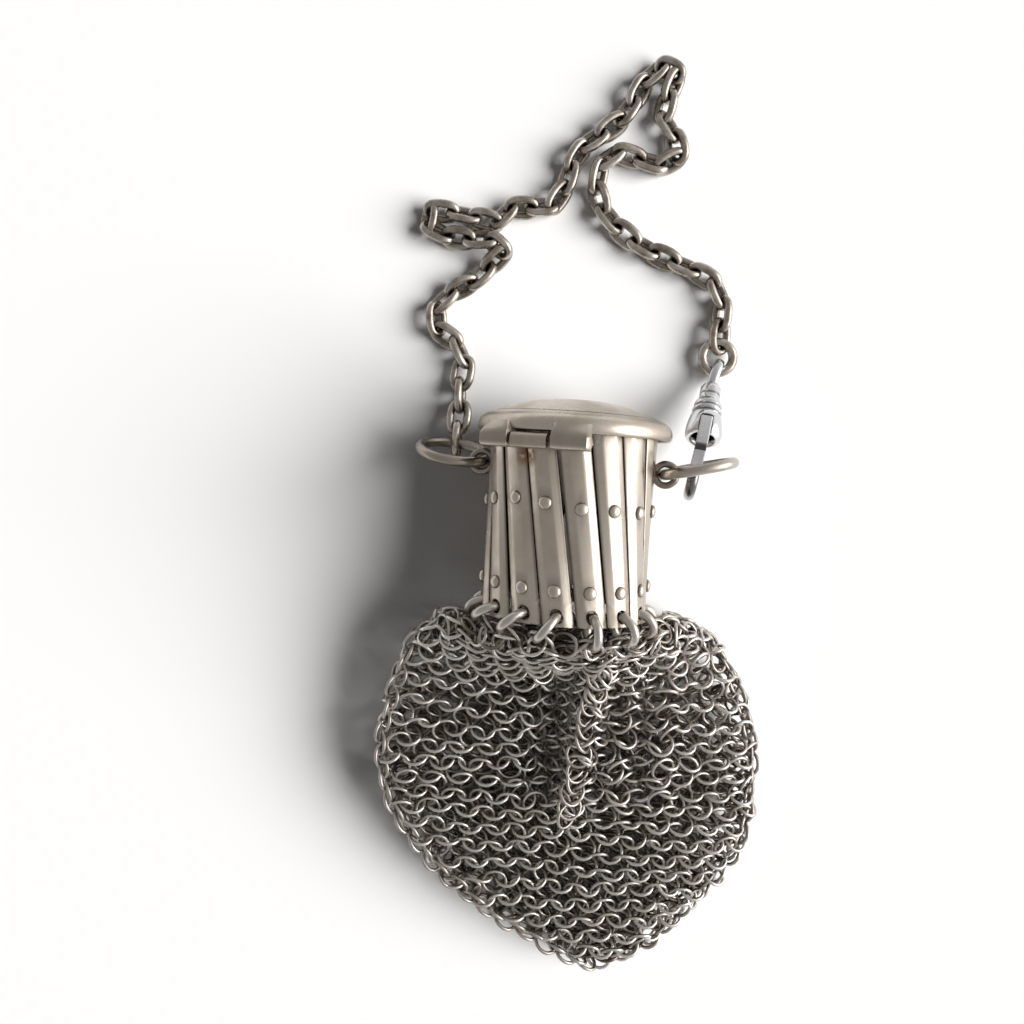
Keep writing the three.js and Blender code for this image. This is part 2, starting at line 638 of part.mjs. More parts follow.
// The origin lies under the middle of the whole, at the lowest point.
purse.updateMatrixWorld(true);
const bounds = new THREE.Box3().setFromObject(purse);
const middle = bounds.getCenter(new THREE.Vector3());
purse.position.set(-middle.x, -middle.y, -bounds.min.z);

const part = new THREE.Group();
part.add(purse);
export default part;
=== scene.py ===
import bmesh
import bpy
import numpy as np
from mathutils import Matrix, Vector


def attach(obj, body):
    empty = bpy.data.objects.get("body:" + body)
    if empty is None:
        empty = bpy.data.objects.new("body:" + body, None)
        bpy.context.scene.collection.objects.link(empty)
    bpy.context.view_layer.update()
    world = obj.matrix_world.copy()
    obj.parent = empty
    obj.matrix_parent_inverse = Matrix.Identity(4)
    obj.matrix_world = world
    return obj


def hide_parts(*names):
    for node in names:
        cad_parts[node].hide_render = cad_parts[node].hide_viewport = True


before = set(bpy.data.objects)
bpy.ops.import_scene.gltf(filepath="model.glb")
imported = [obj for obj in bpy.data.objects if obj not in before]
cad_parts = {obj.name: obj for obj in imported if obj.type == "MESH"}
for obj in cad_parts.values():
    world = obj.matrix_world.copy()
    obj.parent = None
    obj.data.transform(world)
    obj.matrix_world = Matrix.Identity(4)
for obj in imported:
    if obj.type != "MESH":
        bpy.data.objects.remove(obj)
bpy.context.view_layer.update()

# Studio: a pale table in soft light from the right, with dim light from above.
# The camera looks almost straight down from about 18 cm above the table.
CAMERA_AT, CAMERA_TILT = (-0.0100, 0.01002, 0.180), -2.7
SENSOR_WIDTH, FOCAL_LENGTH, NEAR_CLIP = 36.0, 34.77, 0.01
TABLE_HALF, TABLE_LEVEL = 2, -1e-4
scene = bpy.context.scene
scene.view_settings.view_transform = "Standard"
lens = bpy.data.cameras.new("camera")
lens.sensor_width = SENSOR_WIDTH
lens.lens = FOCAL_LENGTH
lens.clip_start = NEAR_CLIP
camera = bpy.data.objects.new("camera", lens)
camera.location = CAMERA_AT
camera.rotation_euler = (np.radians(CAMERA_TILT), 0.0, 0.0)
scene.collection.objects.link(camera)
scene.camera = camera


def add_node(tree, kind, operation=None, **values):
    """A shader node with its operation and named inputs set; an underscore in a name stands for a space."""
    made = tree.nodes.new("ShaderNode" + kind)
    if operation:
        made.operation = operation
    for name, value in values.items():
        made.inputs[name.replace("_", " ")].default_value = value
    return made


def link(start, output, finish, entry):
    """Joins an output of one shader node to an input of another."""
    start.id_data.links.new(start.outputs[output], finish.inputs[entry])


def far_light(name, way, power, width, colour):
    """A lamp as wide as an angle in degrees, far off in a direction, that lights the whole table evenly and
    does not show in the metal."""
    lamp = bpy.data.lights.new(name, "SUN")
    lamp.energy = power
    lamp.angle = np.radians(width)
    lamp.color = colour
    holder = bpy.data.objects.new(name, lamp)
    holder.rotation_euler = Vector(way).to_track_quat("Z", "Y").to_euler()
    holder.visible_glossy = False
    scene.collection.objects.link(holder)


far_light("window", way=(0.80, -0.08, 0.56), power=5.55, width=44.0, colour=(1.0, 0.99, 0.975))
far_light("room_fill", way=(0.1, 0.0, 1.0), power=0.21, width=150.0, colour=(1.0, 1.0, 1.0))

# The room shows in the metal only. Each row is a direction, the two cosines
# between which the light changes, and its strength at each of them.
ROOM = (
    ((-0.55, 0.1, 0.83), -0.3, 1.0, 0.62, 0.38),
    ((0.95, 0.0, 0.31), 0.25, 1.0, 0.0, 0.35),
    ((0.96, -0.04, 0.27), 0.78, 0.975, 0.0, 3.6),
)
world = bpy.data.worlds.new("room")
world.use_nodes = True
scene.world = world
world.cycles_visibility.diffuse = False
sky = world.node_tree
sky.nodes.clear()
aim = add_node(sky, "TexCoord")
glow = add_node(sky, "Background", Color=(1.0, 0.985, 0.97, 1))
out = add_node(sky, "OutputWorld")
shine = None
for way, low, high, dim, bright in ROOM:
    side = add_node(sky, "VectorMath", "DOT_PRODUCT")
    side.inputs[1].default_value = way
    spread = add_node(sky, "MapRange", From_Min=low, From_Max=high, To_Min=dim, To_Max=bright)
    spread.interpolation_type = "SMOOTHSTEP"
    link(aim, "Generated", side, 0)
    link(side, "Value", spread, "Value")
    together = add_node(sky, "Math")
    together.inputs[1].default_value = 0.0
    link(spread, "Result", together, 0)
    if shine:
        link(shine, "Value", together, 1)
    shine = together
link(shine, "Value", glow, "Strength")
link(glow, "Background", out, "Surface")

table_mesh = bpy.data.meshes.new("table")
table_square = ((-1, -1), (1, -1), (1, 1), (-1, 1))
table_corners = [(x * TABLE_HALF, y * TABLE_HALF, TABLE_LEVEL) for x, y in table_square]
table_mesh.from_pydata(table_corners, [], [(0, 1, 2, 3)])
table = bpy.data.objects.new("table", table_mesh)
scene.collection.objects.link(table)
table_paint = bpy.data.materials.new("table_paint")
table_paint.use_nodes = True
table_face = table_paint.node_tree.nodes["Principled BSDF"]
table_face.inputs["Base Color"].default_value = (0.93, 0.93, 0.93, 1)
table_face.inputs["Roughness"].default_value = 0.9
table_mesh.materials.append(table_paint)

# Outer slats: fourteen straight strips of nickel silver with a flat crest and
# bevelled sides, riveted in two rows over the inner slats so that the collar
# can widen. Each has a hole at its foot for a ring that carries the mail.
MILLIMETRE, WELD_REACH = 0.001, 3e-6
COLLAR_AT, COLLAR_TURN, COLLAR_DROOP = (-0.46, 3.531, 16.0), np.radians(-4.0), 0.5
SLATS = 14
SLAT_STEP = 360.0 / SLATS
SLAT_TOP, SLAT_FOOT, SLAT_BACK = 12.4, -17.9, 12.92
SLAT_CROWD, SLAT_NARROW, CROWD_FROM = 6.3, 0.11, 12.9
CROWN_STEPS = np.array([0.0, 0.9, 1.25, 1.5, 2.3, 2.57, 2.71, 2.76])
CROWN_RISES = np.array([0.88, 0.87, 0.83, 0.75, 0.36, 0.24, 0.16, 0.10])
SLAT_HALF = CROWN_STEPS[-1]
RIVET_SPAN = 12.5
RIVET_ROWS = (-RIVET_SPAN, 0.0)
RIVET_SLIP = np.array([0, 0, 0, 0.7, 1.3, 0.95, 0.35, 0.25, 0, 0, 0, 0, 0, 0])
RING_HOLE_AT, RING_HOLE, HOLE_PATCH, HOLE_ROUNDING = -16.3, 1.05, 2.15, 0.14
EDGE_GRIME_AND_SHADE_FROM, EDGE_GRIME_AND_SHADE_WIDE = 2.35, 0.35
SPOT_GRIME_REACH, SPOT_GRIME_MOST = 1.45, 0.4
slat_number = np.arange(SLATS) - 6
slat_lines = np.concatenate([-CROWN_STEPS[:0:-1], CROWN_STEPS])
# Painted shade: the darkening at the slat edges fades on the slats towards the lit right side.
edge_grime_and_shade = np.interp(slat_number, [0, 1, 2], [1.0, 0.7, 0.3])[:, None, None]


def on_collar(angle, radius, height):
    """A point by its angle round the collar, 0 at the top and growing to +X, its distance from the collar's
    axis and its height along it; the front droops a little and the whole is turned on the table."""
    angle = np.radians(angle)
    x = radius * np.sin(angle)
    y = height - COLLAR_DROOP * np.cos(angle)
    z = radius * np.cos(angle)
    flat_x = x * np.cos(COLLAR_TURN) - y * np.sin(COLLAR_TURN)
    flat_y = x * np.sin(COLLAR_TURN) + y * np.cos(COLLAR_TURN)
    return np.stack(np.broadcast_arrays(flat_x, flat_y, z), -1) + COLLAR_AT


def crowd_turn(number):
    """A slat's even place round the collar, in radians from the line that the slats crowd towards."""
    return np.radians(number * SLAT_STEP + CROWD_FROM)


def slat_angle(number, height):
    """The angle of an outer slat's middle line, which leans by 9.4 degrees between its rivets. The slats
    stand closer together in front than behind and a little out of step with their neighbours."""
    stray = 0.4 * np.sin(2.4 * number + 0.6)
    pushed = number * SLAT_STEP - SLAT_CROWD * np.sin(crowd_turn(number)) + stray
    return 6.0 + pushed - (SLAT_STEP / 2 - 3.5) * height / RIVET_SPAN


def slat_middle(number, height):
    """Angle and distance of a slat's back at a height: the straight line between its two ends."""
    share = (height - SLAT_FOOT) / (SLAT_TOP - SLAT_FOOT)
    low = np.radians(slat_angle(number, SLAT_FOOT))
    high = np.radians(slat_angle(number, SLAT_TOP))
    x = np.sin(low) * (1 - share) + np.sin(high) * share
    z = np.cos(low) * (1 - share) + np.cos(high) * share
    return np.degrees(np.arctan2(x, z)), SLAT_BACK * np.hypot(x, z)


def on_slat(across, along, rise):
    """Points of all the slats: a flat section stands at each end, and the slat runs straight between them.
    The slats are a ninth narrower in front and wider behind."""
    number = slat_number[:, None, None]
    across = across * (1 - SLAT_NARROW * np.cos(crowd_turn(number)))
    share = ((along - SLAT_FOOT) / (SLAT_TOP - SLAT_FOOT))[..., None]
    turn = np.degrees(np.arctan2(across, SLAT_BACK + rise))
    away = np.hypot(across, SLAT_BACK + rise)
    foot = on_collar(slat_angle(number, SLAT_FOOT) + turn, away, SLAT_FOOT)
    head = on_collar(slat_angle(number, SLAT_TOP) + turn, away, SLAT_TOP)
    return foot * (1 - share) + head * share


def slat_crown(across):
    """Height of a slat's face over its back: flat in the middle, then a bevel, then a rounded edge."""
    return np.interp(np.abs(across), CROWN_STEPS, CROWN_RISES)


def strip_border(lines, heights):
    """The border of a flat strip, walked once round: along its first end, up one side, back along its other
    end and down the other side."""
    sides = heights[1:-1]
    over, back = np.full(len(sides), lines[-1]), np.full(len(sides), lines[0])
    start, end = np.full(len(lines), heights[0]), np.full(len(lines), heights[-1])
    across = np.concatenate([lines, over, lines[::-1], back])
    along = np.concatenate([start, sides, end, sides[::-1]])
    return across, along


def make_piece(name, points, faces, grime_and_shade, material, weld=False, smooth=True, sharp=None):
    """A mesh object from points in millimetres, its faces and how dark each point is painted, by real grime
    and by painted shade.
    Edges that are sharper than an angle in degrees stay sharp."""
    mesh = bpy.data.meshes.new(name)
    mesh.from_pydata((points * MILLIMETRE).tolist(), [], faces)
    mesh.attributes.new("grime_and_shade", "FLOAT", "POINT").data.foreach_set("value", grime_and_shade.astype("f4"))
    work = bmesh.new()
    work.from_mesh(mesh)
    if weld:
        bmesh.ops.remove_doubles(work, verts=work.verts, dist=WELD_REACH)
    bmesh.ops.recalc_face_normals(work, faces=work.faces)
    work.to_mesh(mesh)
    work.free()
    if smooth:
        mesh.shade_smooth()
    if sharp:
        mesh.set_sharp_from_angle(angle=np.radians(sharp))
    mesh.materials.append(material)
    made = bpy.data.objects.new(name, mesh)
    scene.collection.objects.link(made)
    return made


def knit(name, grids, material, weld=True, sharp=35.0):
    """Joins grids of points into one piece. A grid is (points, value, rows close, columns close), where the
    points' last three axes are rows, columns and x y z in millimetres, and value is how dark they are
    painted, by real grime and by painted shade. If not said, only the columns close."""
    points, values, quads, start = [], [], [], 0
    for shape, value, *closing in grids:
        round_rows, round_columns = closing or (False, True)
        values.append(np.broadcast_to(value, shape.shape[:-1]).ravel())
        rows, columns = shape.shape[-3:-1]
        shape = shape.reshape(-1, rows * columns, 3)
        row, column = np.arange(rows - 1 + round_rows), np.arange(columns - 1 + round_columns)
        i, j = np.meshgrid(row, column, indexing="ij")
        below, beside = (i + 1) % rows, (j + 1) % columns
        corners = (i * columns + j, i * columns + beside, below * columns + beside, below * columns + j)
        faces = np.stack(corners, -1).reshape(1, -1, 4)
        faces = faces + np.arange(len(shape))[:, None, None] * rows * columns + start
        quads.append(faces.reshape(-1, 4))
        points.append(shape.reshape(-1, 3))
        start += len(shape) * rows * columns
    points, quads, values = np.concatenate(points), np.concatenate(quads), np.concatenate(values)
    return make_piece(name, points, quads.tolist(), values, material, weld=weld, sharp=sharp)


def settle(made, body, slot, *nodes):
    """Puts a piece on its body and hides the solids that it stands for. The slot is not used."""
    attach(made, body)
    if nodes:
        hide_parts(*nodes)


def tarnish_group():
    """Shared shader group for old metal: broad patches, fine streaks along the purse and a fine grain,
    each a noise of its own size stretched over the surface."""
    group = bpy.data.node_groups.new("tarnish", "ShaderNodeTree")
    for label, kind in (("Vector", "NodeSocketVector"), ("Size", "NodeSocketFloat")):
        group.interface.new_socket(label, in_out="INPUT", socket_type=kind)
    for label in ("Patches", "Streaks", "Grain"):
        group.interface.new_socket(label, in_out="OUTPUT", socket_type="NodeSocketFloat")
    given = group.nodes.new("NodeGroupInput")
    result = group.nodes.new("NodeGroupOutput")
    sized = add_node(group, "VectorMath", "SCALE")
    link(given, "Vector", sized, 0)
    link(given, "Size", sized, "Scale")
    broad = add_node(group, "TexNoise", Scale=160.0, Detail=5.0, Roughness=0.62)
    link(sized, "Vector", broad, "Vector")
    steep = add_node(group, "MapRange", From_Min=0.40, From_Max=0.66)
    link(broad, "Fac", steep, "Value")
    link(steep, "Result", result, "Patches")
    drawn = add_node(group, "Mapping", Scale=(1.0, 0.07, 1.0))
    link(sized, "Vector", drawn, "Vector")
    lines = add_node(group, "TexNoise", Scale=1500.0, Detail=3.0, Roughness=0.55)
    link(drawn, "Vector", lines, "Vector")
    link(lines, "Fac", result, "Streaks")
    fine = add_node(group, "TexNoise", Scale=1900.0, Detail=4.0, Roughness=0.6)
    link(sized, "Vector", fine, "Vector")
    link(fine, "Fac", result, "Grain")
    return group


tarnish = tarnish_group()
# A mix node has sockets for every kind of value. These are the places of its
# two inputs and its output for colours and for plain numbers.
COLOUR_A, COLOUR_B, COLOUR_MIX = 6, 7, 2
NUMBER_A, NUMBER_B, NUMBER_MIX = 2, 3, 0


def old_metal(name, clean, stained, dark, rough, patch=0.55, bump=0.12, streak=0.3, size=1.0):
    """An old metal: the clean colour, stained in patches, darkened towards the dark colour by the piece's
    grime and painted shade, with streaked roughness between two values and a fine grain."""
    material = bpy.data.materials.new(name)
    material.use_nodes = True
    tree = material.node_tree
    face = tree.nodes["Principled BSDF"]
    face.inputs["Metallic"].default_value = 1.0
    place = add_node(tree, "TexCoord")
    age = add_node(tree, "Group")
    age.node_tree = tarnish
    age.inputs["Size"].default_value = size
    link(place, "Object", age, "Vector")
    amount = add_node(tree, "Math", "MULTIPLY")
    amount.inputs[1].default_value = patch
    link(age, "Patches", amount, 0)
    stain = add_node(tree, "Mix")
    stain.data_type = "RGBA"
    stain.inputs[COLOUR_A].default_value = (*clean, 1)
    stain.inputs[COLOUR_B].default_value = (*stained, 1)
    link(amount, "Value", stain, "Factor")
    grime_and_shade_input = add_node(tree, "Attribute")
    grime_and_shade_input.attribute_name = "grime_and_shade"
    darkening = add_node(tree, "Mix")
    darkening.data_type = "RGBA"
    darkening.inputs[COLOUR_B].default_value = (*dark, 1)
    link(grime_and_shade_input, "Fac", darkening, "Factor")
    link(stain, COLOUR_MIX, darkening, COLOUR_A)
    link(darkening, COLOUR_MIX, face, "Base Color")
    mixed = add_node(tree, "Mix", Factor=streak)
    link(age, "Patches", mixed, NUMBER_A)
    link(age, "Streaks", mixed, NUMBER_B)
    gloss = add_node(tree, "MapRange", To_Min=rough[0], To_Max=rough[1])
    link(mixed, NUMBER_MIX, gloss, "Value")
    link(gloss, "Result", face, "Roughness")
    relief = add_node(tree, "Bump", Strength=bump, Distance=0.0001)
    link(age, "Grain", relief, "Height")
    link(relief, "Normal", face, "Normal")
    return material


def add_rust(material, at, core, edge, colour):
    """A brown spot that fades from a core's radius to an edge's round a place and is broken up by a noise. It
    tints the metal and takes most of its shine."""
    tree = material.node_tree
    face = tree.nodes["Principled BSDF"]
    before = face.inputs["Base Color"].links[0].from_node
    place = add_node(tree, "TexCoord")
    away = add_node(tree, "VectorMath", "DISTANCE")
    away.inputs[1].default_value = at
    near = add_node(tree, "MapRange", From_Min=edge, From_Max=core)
    grain = add_node(tree, "TexNoise", Scale=1100.0, Detail=3.0)
    broken = add_node(tree, "MapRange", From_Min=0.36, From_Max=0.52)
    mask = add_node(tree, "Math", "MULTIPLY")
    tint = add_node(tree, "Mix")
    tint.data_type = "RGBA"
    tint.inputs[COLOUR_B].default_value = colour
    dull = add_node(tree, "MapRange", To_Min=1.0, To_Max=0.2)
    link(place, "Object", away, 0)
    link(place, "Object", grain, "Vector")
    link(away, "Value", near, "Value")
    link(grain, "Fac", broken, "Value")
    link(near, "Result", mask, 0)
    link(broken, "Result", mask, 1)
    link(mask, "Value", tint, "Factor")
    link(before, COLOUR_MIX, tint, COLOUR_A)
    link(tint, COLOUR_MIX, face, "Base Color")
    link(mask, "Value", dull, "Value")
    link(dull, "Result", face, "Metallic")


def slat_grime_and_shade(across, along):
    """A slat is darker at its two edges, partly grime and partly painted shade, and less so on the slats
    towards the lit right side; grime also gathers round its rivets and ring hole.
    """
    near_edge = np.clip((np.abs(across) - EDGE_GRIME_AND_SHADE_FROM) / EDGE_GRIME_AND_SHADE_WIDE, 0, 1)
    spots = (RIVET_ROWS[0], RIVET_SLIP[:, None, None], RING_HOLE_AT)
    low, middle, hole = [np.hypot(across, along - at) for at in spots]
    near_spot = np.clip(SPOT_GRIME_REACH - np.minimum(np.minimum(low, hole), middle), 0, SPOT_GRIME_MOST)
    return np.clip(0.75 * edge_grime_and_shade * near_edge + near_spot, 0, 1)


collar_metal = old_metal(
    "collar_nickel", clean=(0.585, 0.525, 0.455), stained=(0.39, 0.325, 0.255), dark=(0.05, 0.042, 0.035),
    rough=(0.24, 0.46), patch=0.5,
)
add_rust(collar_metal, at=(-0.0083, 0.0116, 0.0277), core=0.0011, edge=0.0024, colour=(0.27, 0.11, 0.03, 1))
hole_line = RING_HOLE_AT + HOLE_PATCH
slat_rows = np.linspace(hole_line, SLAT_TOP, 13)
body = np.meshgrid(slat_lines, slat_rows)
foot_across, foot_along = strip_border(slat_lines, np.linspace(hole_line, SLAT_FOOT, 8))
hole_turn = np.arctan2(foot_along - RING_HOLE_AT, foot_across)
ease = np.array([0.0, 0.1, 0.3, 0.55, 0.8, 1.0])[:, None]
patch_across = RING_HOLE * np.cos(hole_turn) * (1 - ease) + foot_across * ease
patch_along = (RING_HOLE_AT + RING_HOLE * np.sin(hole_turn)) * (1 - ease) + foot_along * ease
patch = (patch_across, patch_along)
patch_rise = slat_crown(patch_across)
patch_rise[0] -= HOLE_ROUNDING
side_rows = slat_rows[1:-1]
side_half = np.full(len(side_rows), SLAT_HALF)
head_along = np.full(len(slat_lines), SLAT_TOP)
from_corner = slice(len(slat_lines) - 1, None)
edge_across = np.concatenate([foot_across[from_corner], -side_half, slat_lines, side_half])
edge_along = np.concatenate([foot_along[from_corner], side_rows, head_along, side_rows[::-1]])
walls = np.array([1.0, 0.0])[:, None]
edge_rise = slat_crown(edge_across) * walls
# The slats' side walls and the ring hole's wall are painted darker as shade, and their backs are darker too.
slat_grids = [
    (on_slat(*body, slat_crown(body[0])), slat_grime_and_shade(*body), False, False),
    (on_slat(*body, 0.0), 0.6, False, False),
    (on_slat(*patch, patch_rise), slat_grime_and_shade(*patch)),
    (on_slat(*patch, 0.0), 0.6),
    (on_slat(edge_across[None], edge_along[None], edge_rise), 0.9 * edge_grime_and_shade),
    (on_slat(patch_across[:1], patch_along[:1], patch_rise[:1] * walls), 1.0),
]
outer_slats = knit("outer_slats", slat_grids, collar_metal)
settle(outer_slats, "purse", "collar_metal", *[f"slat_outer_{i:02d}" for i in range(1, SLATS + 1)])

# Rivets: a small round head on each outer slat at both rivet rows, with the
# shank going through the inner slat behind it.
RIVET_SEAT, HEAD_STEPS = 0.87, 6


def unit(ways):
    """Directions divided by their lengths."""
    return ways / np.linalg.norm(ways, axis=-1, keepdims=True)


def once_round(steps):
    """Even steps once round a circle, in radians."""
    return np.linspace(0, 2 * np.pi, steps, endpoint=False)


def turned_on(origin, axis, radius, height, sides=24):
    """Turned shapes: a profile of radius and height, spun about an axis through each origin."""
    axis = unit(axis)
    helper = np.where(np.abs(axis[..., 1:2]) > 0.8, [[1.0, 0, 0]], [[0, 1.0, 0]])
    first = unit(np.cross(helper, axis))
    second = np.cross(axis, first)
    spin = once_round(sides)
    radius, height = np.asarray(radius)[:, None, None], np.asarray(height)[:, None, None]
    around = np.cos(spin)[:, None] * first[:, None, None] + np.sin(spin)[:, None] * second[:, None, None]
    return origin[:, None, None] + height * axis[:, None, None] + radius * around


rivet_number, rivet_height = [v.ravel() for v in np.meshgrid(slat_number, RIVET_ROWS)]
rivet_height[SLATS:] += RIVET_SLIP
rivet_angle, rivet_back = slat_middle(rivet_number, rivet_height)
rivet_out = on_collar(rivet_angle, 1.0, 0.0) - on_collar(rivet_angle, 0.0, 0.0)
rivet_face = on_collar(rivet_angle, rivet_back + RIVET_SEAT, rivet_height)
rivet_swing = np.linspace(0, np.pi / 2, HEAD_STEPS)
head_radius = np.concatenate([[0.5, 0.5, 1.03, 1.09], 1.07 * np.cos(rivet_swing)])
head_height = np.concatenate([[-2.4, -0.1, -0.1, -0.02], 0.12 + 0.58 * np.sin(rivet_swing)])
# Painted shade: each rivet's shank and the rim of its head are painted dark, and its top is left clean and
# light.
rivet_rim_shade = np.array([1, 1, 0.95, 0.85, 0.55, 0.15, 0, 0, 0, 0])[:, None]
rivet_points = turned_on(rivet_face, rivet_out, head_radius, head_height)
rivets = knit("rivets", [(rivet_points, rivet_rim_shade)], collar_metal, sharp=50)
settle(rivets, "purse", "collar_metal")

# Inner slats: plain flat strips behind the outer ones, leaning the other way,
# so that the two layers cross at the rivets like a garden gate.
INNER_HALF, INNER_FOOT, INNER_TOP, INNER_THICK = 2.3, -14.0, 12.3, 0.7
INNER_WAIST, INNER_FLARE = 12.05, 0.25
inner_lines = np.linspace(-INNER_HALF, INNER_HALF, 5)
inner_heights = np.linspace(INNER_FOOT, INNER_TOP, 9)


def on_inner(across, along, rise):
    """Points of all the inner slats: strips that lean the other way and are drawn in at the waist."""
    number = slat_number[:, None, None]
    base = INNER_WAIST + INNER_FLARE * np.minimum(1, np.abs(along) / INNER_TOP) + rise
    here = slat_angle(number, 0.0)
    there = slat_angle(number + np.sign(along), RIVET_SPAN * np.sign(along))
    lean = here + (there - here) * np.abs(along) / RIVET_SPAN
    return on_collar(lean + np.degrees(np.arctan2(across, base)), np.hypot(across, base), along)


inner_body = np.meshgrid(inner_lines, inner_heights)
inner_border = strip_border(inner_lines, inner_heights)
inner_grids = [
    (on_inner(*inner_body, 0.0), 0.45, False, False),
    (on_inner(*inner_body, -INNER_THICK), 0.45, False, False),
    (on_inner(*inner_border, (walls - 1) * INNER_THICK), 0.8),
]
inner_slats = knit("inner_slats", inner_grids, collar_metal)
settle(inner_slats, "purse", "collar_metal", *[f"slat_inner_{i:02d}" for i in range(1, SLATS + 1)])

# Lid: a spun cup of nickel silver with a rolled rim, a rounded band, a fine
# crease and a low dome. It is soldered to two knuckles of the hinge.
LID_SIDES = 144
# How strong the painted shade on the lid's left end grows, where it begins and over what width.
LEFT_SHADE, LEFT_SHADE_FROM, LEFT_SHADE_WIDE = 0.2, 8.0, 7.0
lining = np.array([[0.0, 16.8], [5.0, 16.45], [10.0, 15.3], [13.5, 13.9], [14.7, 13.3], [15.2, 12.6]])
lid_rim = np.array([[15.25, 12.2], [15.2, 11.6], [15.3, 11.36], [15.5, 11.28], [15.75, 11.36], [15.92, 11.6]])
lid_band = np.array([
    [16.0, 11.95], [16.03, 12.3], [15.98, 12.75], [15.8, 13.25],
    [15.46, 13.72], [14.95, 14.12], [14.35, 14.42], [13.85, 14.6],
])
lid_crease = np.array([[13.7, 14.65], [13.6, 14.63], [13.5, 14.67], [13.36, 14.77]])
dome_radius = np.linspace(13.1, 0.0, 16)
dome_height = 14.62 + 2.63 * (1 - (dome_radius / 13.6) ** 2.5)
dome = np.stack([dome_radius, dome_height], -1)
lid_profile = np.concatenate([lining, lid_rim, lid_band, lid_crease, dome])
# Painted shade and reflection on the lid: the lining, the underside of the rim and the crease are painted
# dark as shade, the band darkens into the crease, and the dome is painted darker for its dark reflection.
lining_shade, dome_reflection_tone = np.full(len(lining), 0.6), np.full(len(dome), 0.13)
rim_shade = [0.6, 0.6, 0.25, 0.25, 0.0, 0.0]
band_shade = [0.0, 0.0, 0.0, 0.0, 0.0, 0.0, 0.0, 0.3]
crease_shade = [0.85, 1.0, 0.85, 0.35]
lid_shade_and_reflection = np.concatenate([lining_shade, rim_shade, band_shade, crease_shade, dome_reflection_tone])[:, None]
collar_axis = (on_collar(0.0, 0.0, 1.0) - on_collar(0.0, 0.0, 0.0))[None]
lid_foot = np.array([COLLAR_AT])
lid_points = turned_on(lid_foot, collar_axis, lid_profile[:, 0], lid_profile[:, 1], LID_SIDES)
# Painted shade: the lid is painted darker towards its left end, away from the light.
lid_leftward = lid_foot[0, 0] - lid_points[0, ..., 0]
lid_left_shade = LEFT_SHADE * np.clip((lid_leftward - LEFT_SHADE_FROM) / LEFT_SHADE_WIDE, 0, 1)
lid_grid = (lid_points, np.maximum(lid_shade_and_reflection, lid_left_shade))
lid_cup = knit("lid_cup", [lid_grid], collar_metal, sharp=60)
settle(lid_cup, "lid", "collar_metal", "lid")

# Hinge leaves: two knuckles of nickel silver, each bent from one strip with
# its leaf, which is soldered to the lid's band.
HINGE_ANGLE, HINGE_REACH, HINGE_HEIGHT, KNUCKLE = -27.0, 15.7, 9.45, 0.88
BARREL_STEPS = 22
LEAF_TOP, LEAF_SEAT, LEAF_BLEND, LEAF_SLANT = 3.3, 15.55, 0.5, 0.4
LEAF_TIP, LEAF_THICK, SEAT_SKIN = 0.12, 0.42, 0.1
CHAMFER_WIDE, CHAMFER_DEEP, CHAMFER_EASE = 0.42, 0.8, 0.04


def collar_way(angle):
    """The level direction that looks out of the collar at an angle."""
    angle = np.radians(angle)
    return np.array([np.sin(angle) * np.cos(COLLAR_TURN), np.sin(angle) * np.sin(COLLAR_TURN), np.cos(angle)])


hinge_axis = collar_axis[0]
hinge_along, hinge_out = collar_way(HINGE_ANGLE + 90), collar_way(HINGE_ANGLE)
hinge_at = lid_foot[0] + HINGE_HEIGHT * hinge_axis + HINGE_REACH * hinge_out


def in_hinge(along, up, away):
    """A point by its place along the hinge's pin, up the collar from it and out from it."""
    along, up, away = along[..., None], up[..., None], away[..., None]
    return hinge_at + along * hinge_along + up * hinge_axis + away * hinge_out


def leaf(start, end, top, seat, blend, slant):
    """A knuckle with its leaf: the barrel's round section runs up into a leaf, carried along the pin. The
    leaf's back follows the seat, a depth behind the pin, its front eases back to the seat by the blend's
    share, and both ends slant inwards behind and have a broad chamfer in front."""
    between = np.linspace(start + 0.6, end - 0.6, 11)
    ends = [start, start, start + CHAMFER_WIDE], [end - CHAMFER_WIDE, end, end]
    steps = np.concatenate([ends[0], between, ends[1]])[:, None]
    flat = 0 * steps
    small = flat + 1.0
    small[[0, -1]] = 0.0
    chamfer = 0 * steps
    chamfer[[0, 1, -2, -1]] = CHAMFER_DEEP
    chamfer[[2, -3]] = CHAMFER_EASE
    swing = np.radians(np.linspace(12, -190, BARREL_STEPS))
    back_up = np.array([0.32, 0.66, 1.0]) * top
    front_up = np.array([1.0, 0.9, 0.75, 0.6, 0.45, 0.3]) * top
    up = np.concatenate([KNUCKLE * np.sin(swing), back_up, front_up]) + flat
    seat_out = seat(steps)
    ease_back = blend * np.array([1.0, 0.9, 0.64, 0.36, 0.15, 0.03])
    plain_front = LEAF_TIP + 0.8 * (1 - (front_up / top) ** 4)
    front_out = plain_front * (1 - ease_back) + (seat_out + LEAF_THICK) * ease_back
    barrel_out = KNUCKLE * np.cos(swing) + flat
    depth = np.concatenate([barrel_out, -KNUCKLE + flat, seat_out, seat_out, front_out], 1)
    share = (2 * steps - start - end) / (end - start)
    place = steps - slant * share * (KNUCKLE - depth)
    depth = np.maximum(depth - (slant > 0) * chamfer, np.minimum(depth, seat_out + SEAT_SKIN))
    middle_up, middle_out = up.mean(1, keepdims=True), depth.mean(1, keepdims=True)
    up = middle_up + (up - middle_up) * small
    depth = middle_out + (depth - middle_out) * small
    return in_hinge(place, up, depth)


def lid_seat(step):
    """How far the lid's band lies behind the pin at a step along it."""
    return np.sqrt(LEAF_SEAT**2 - step**2) - HINGE_REACH


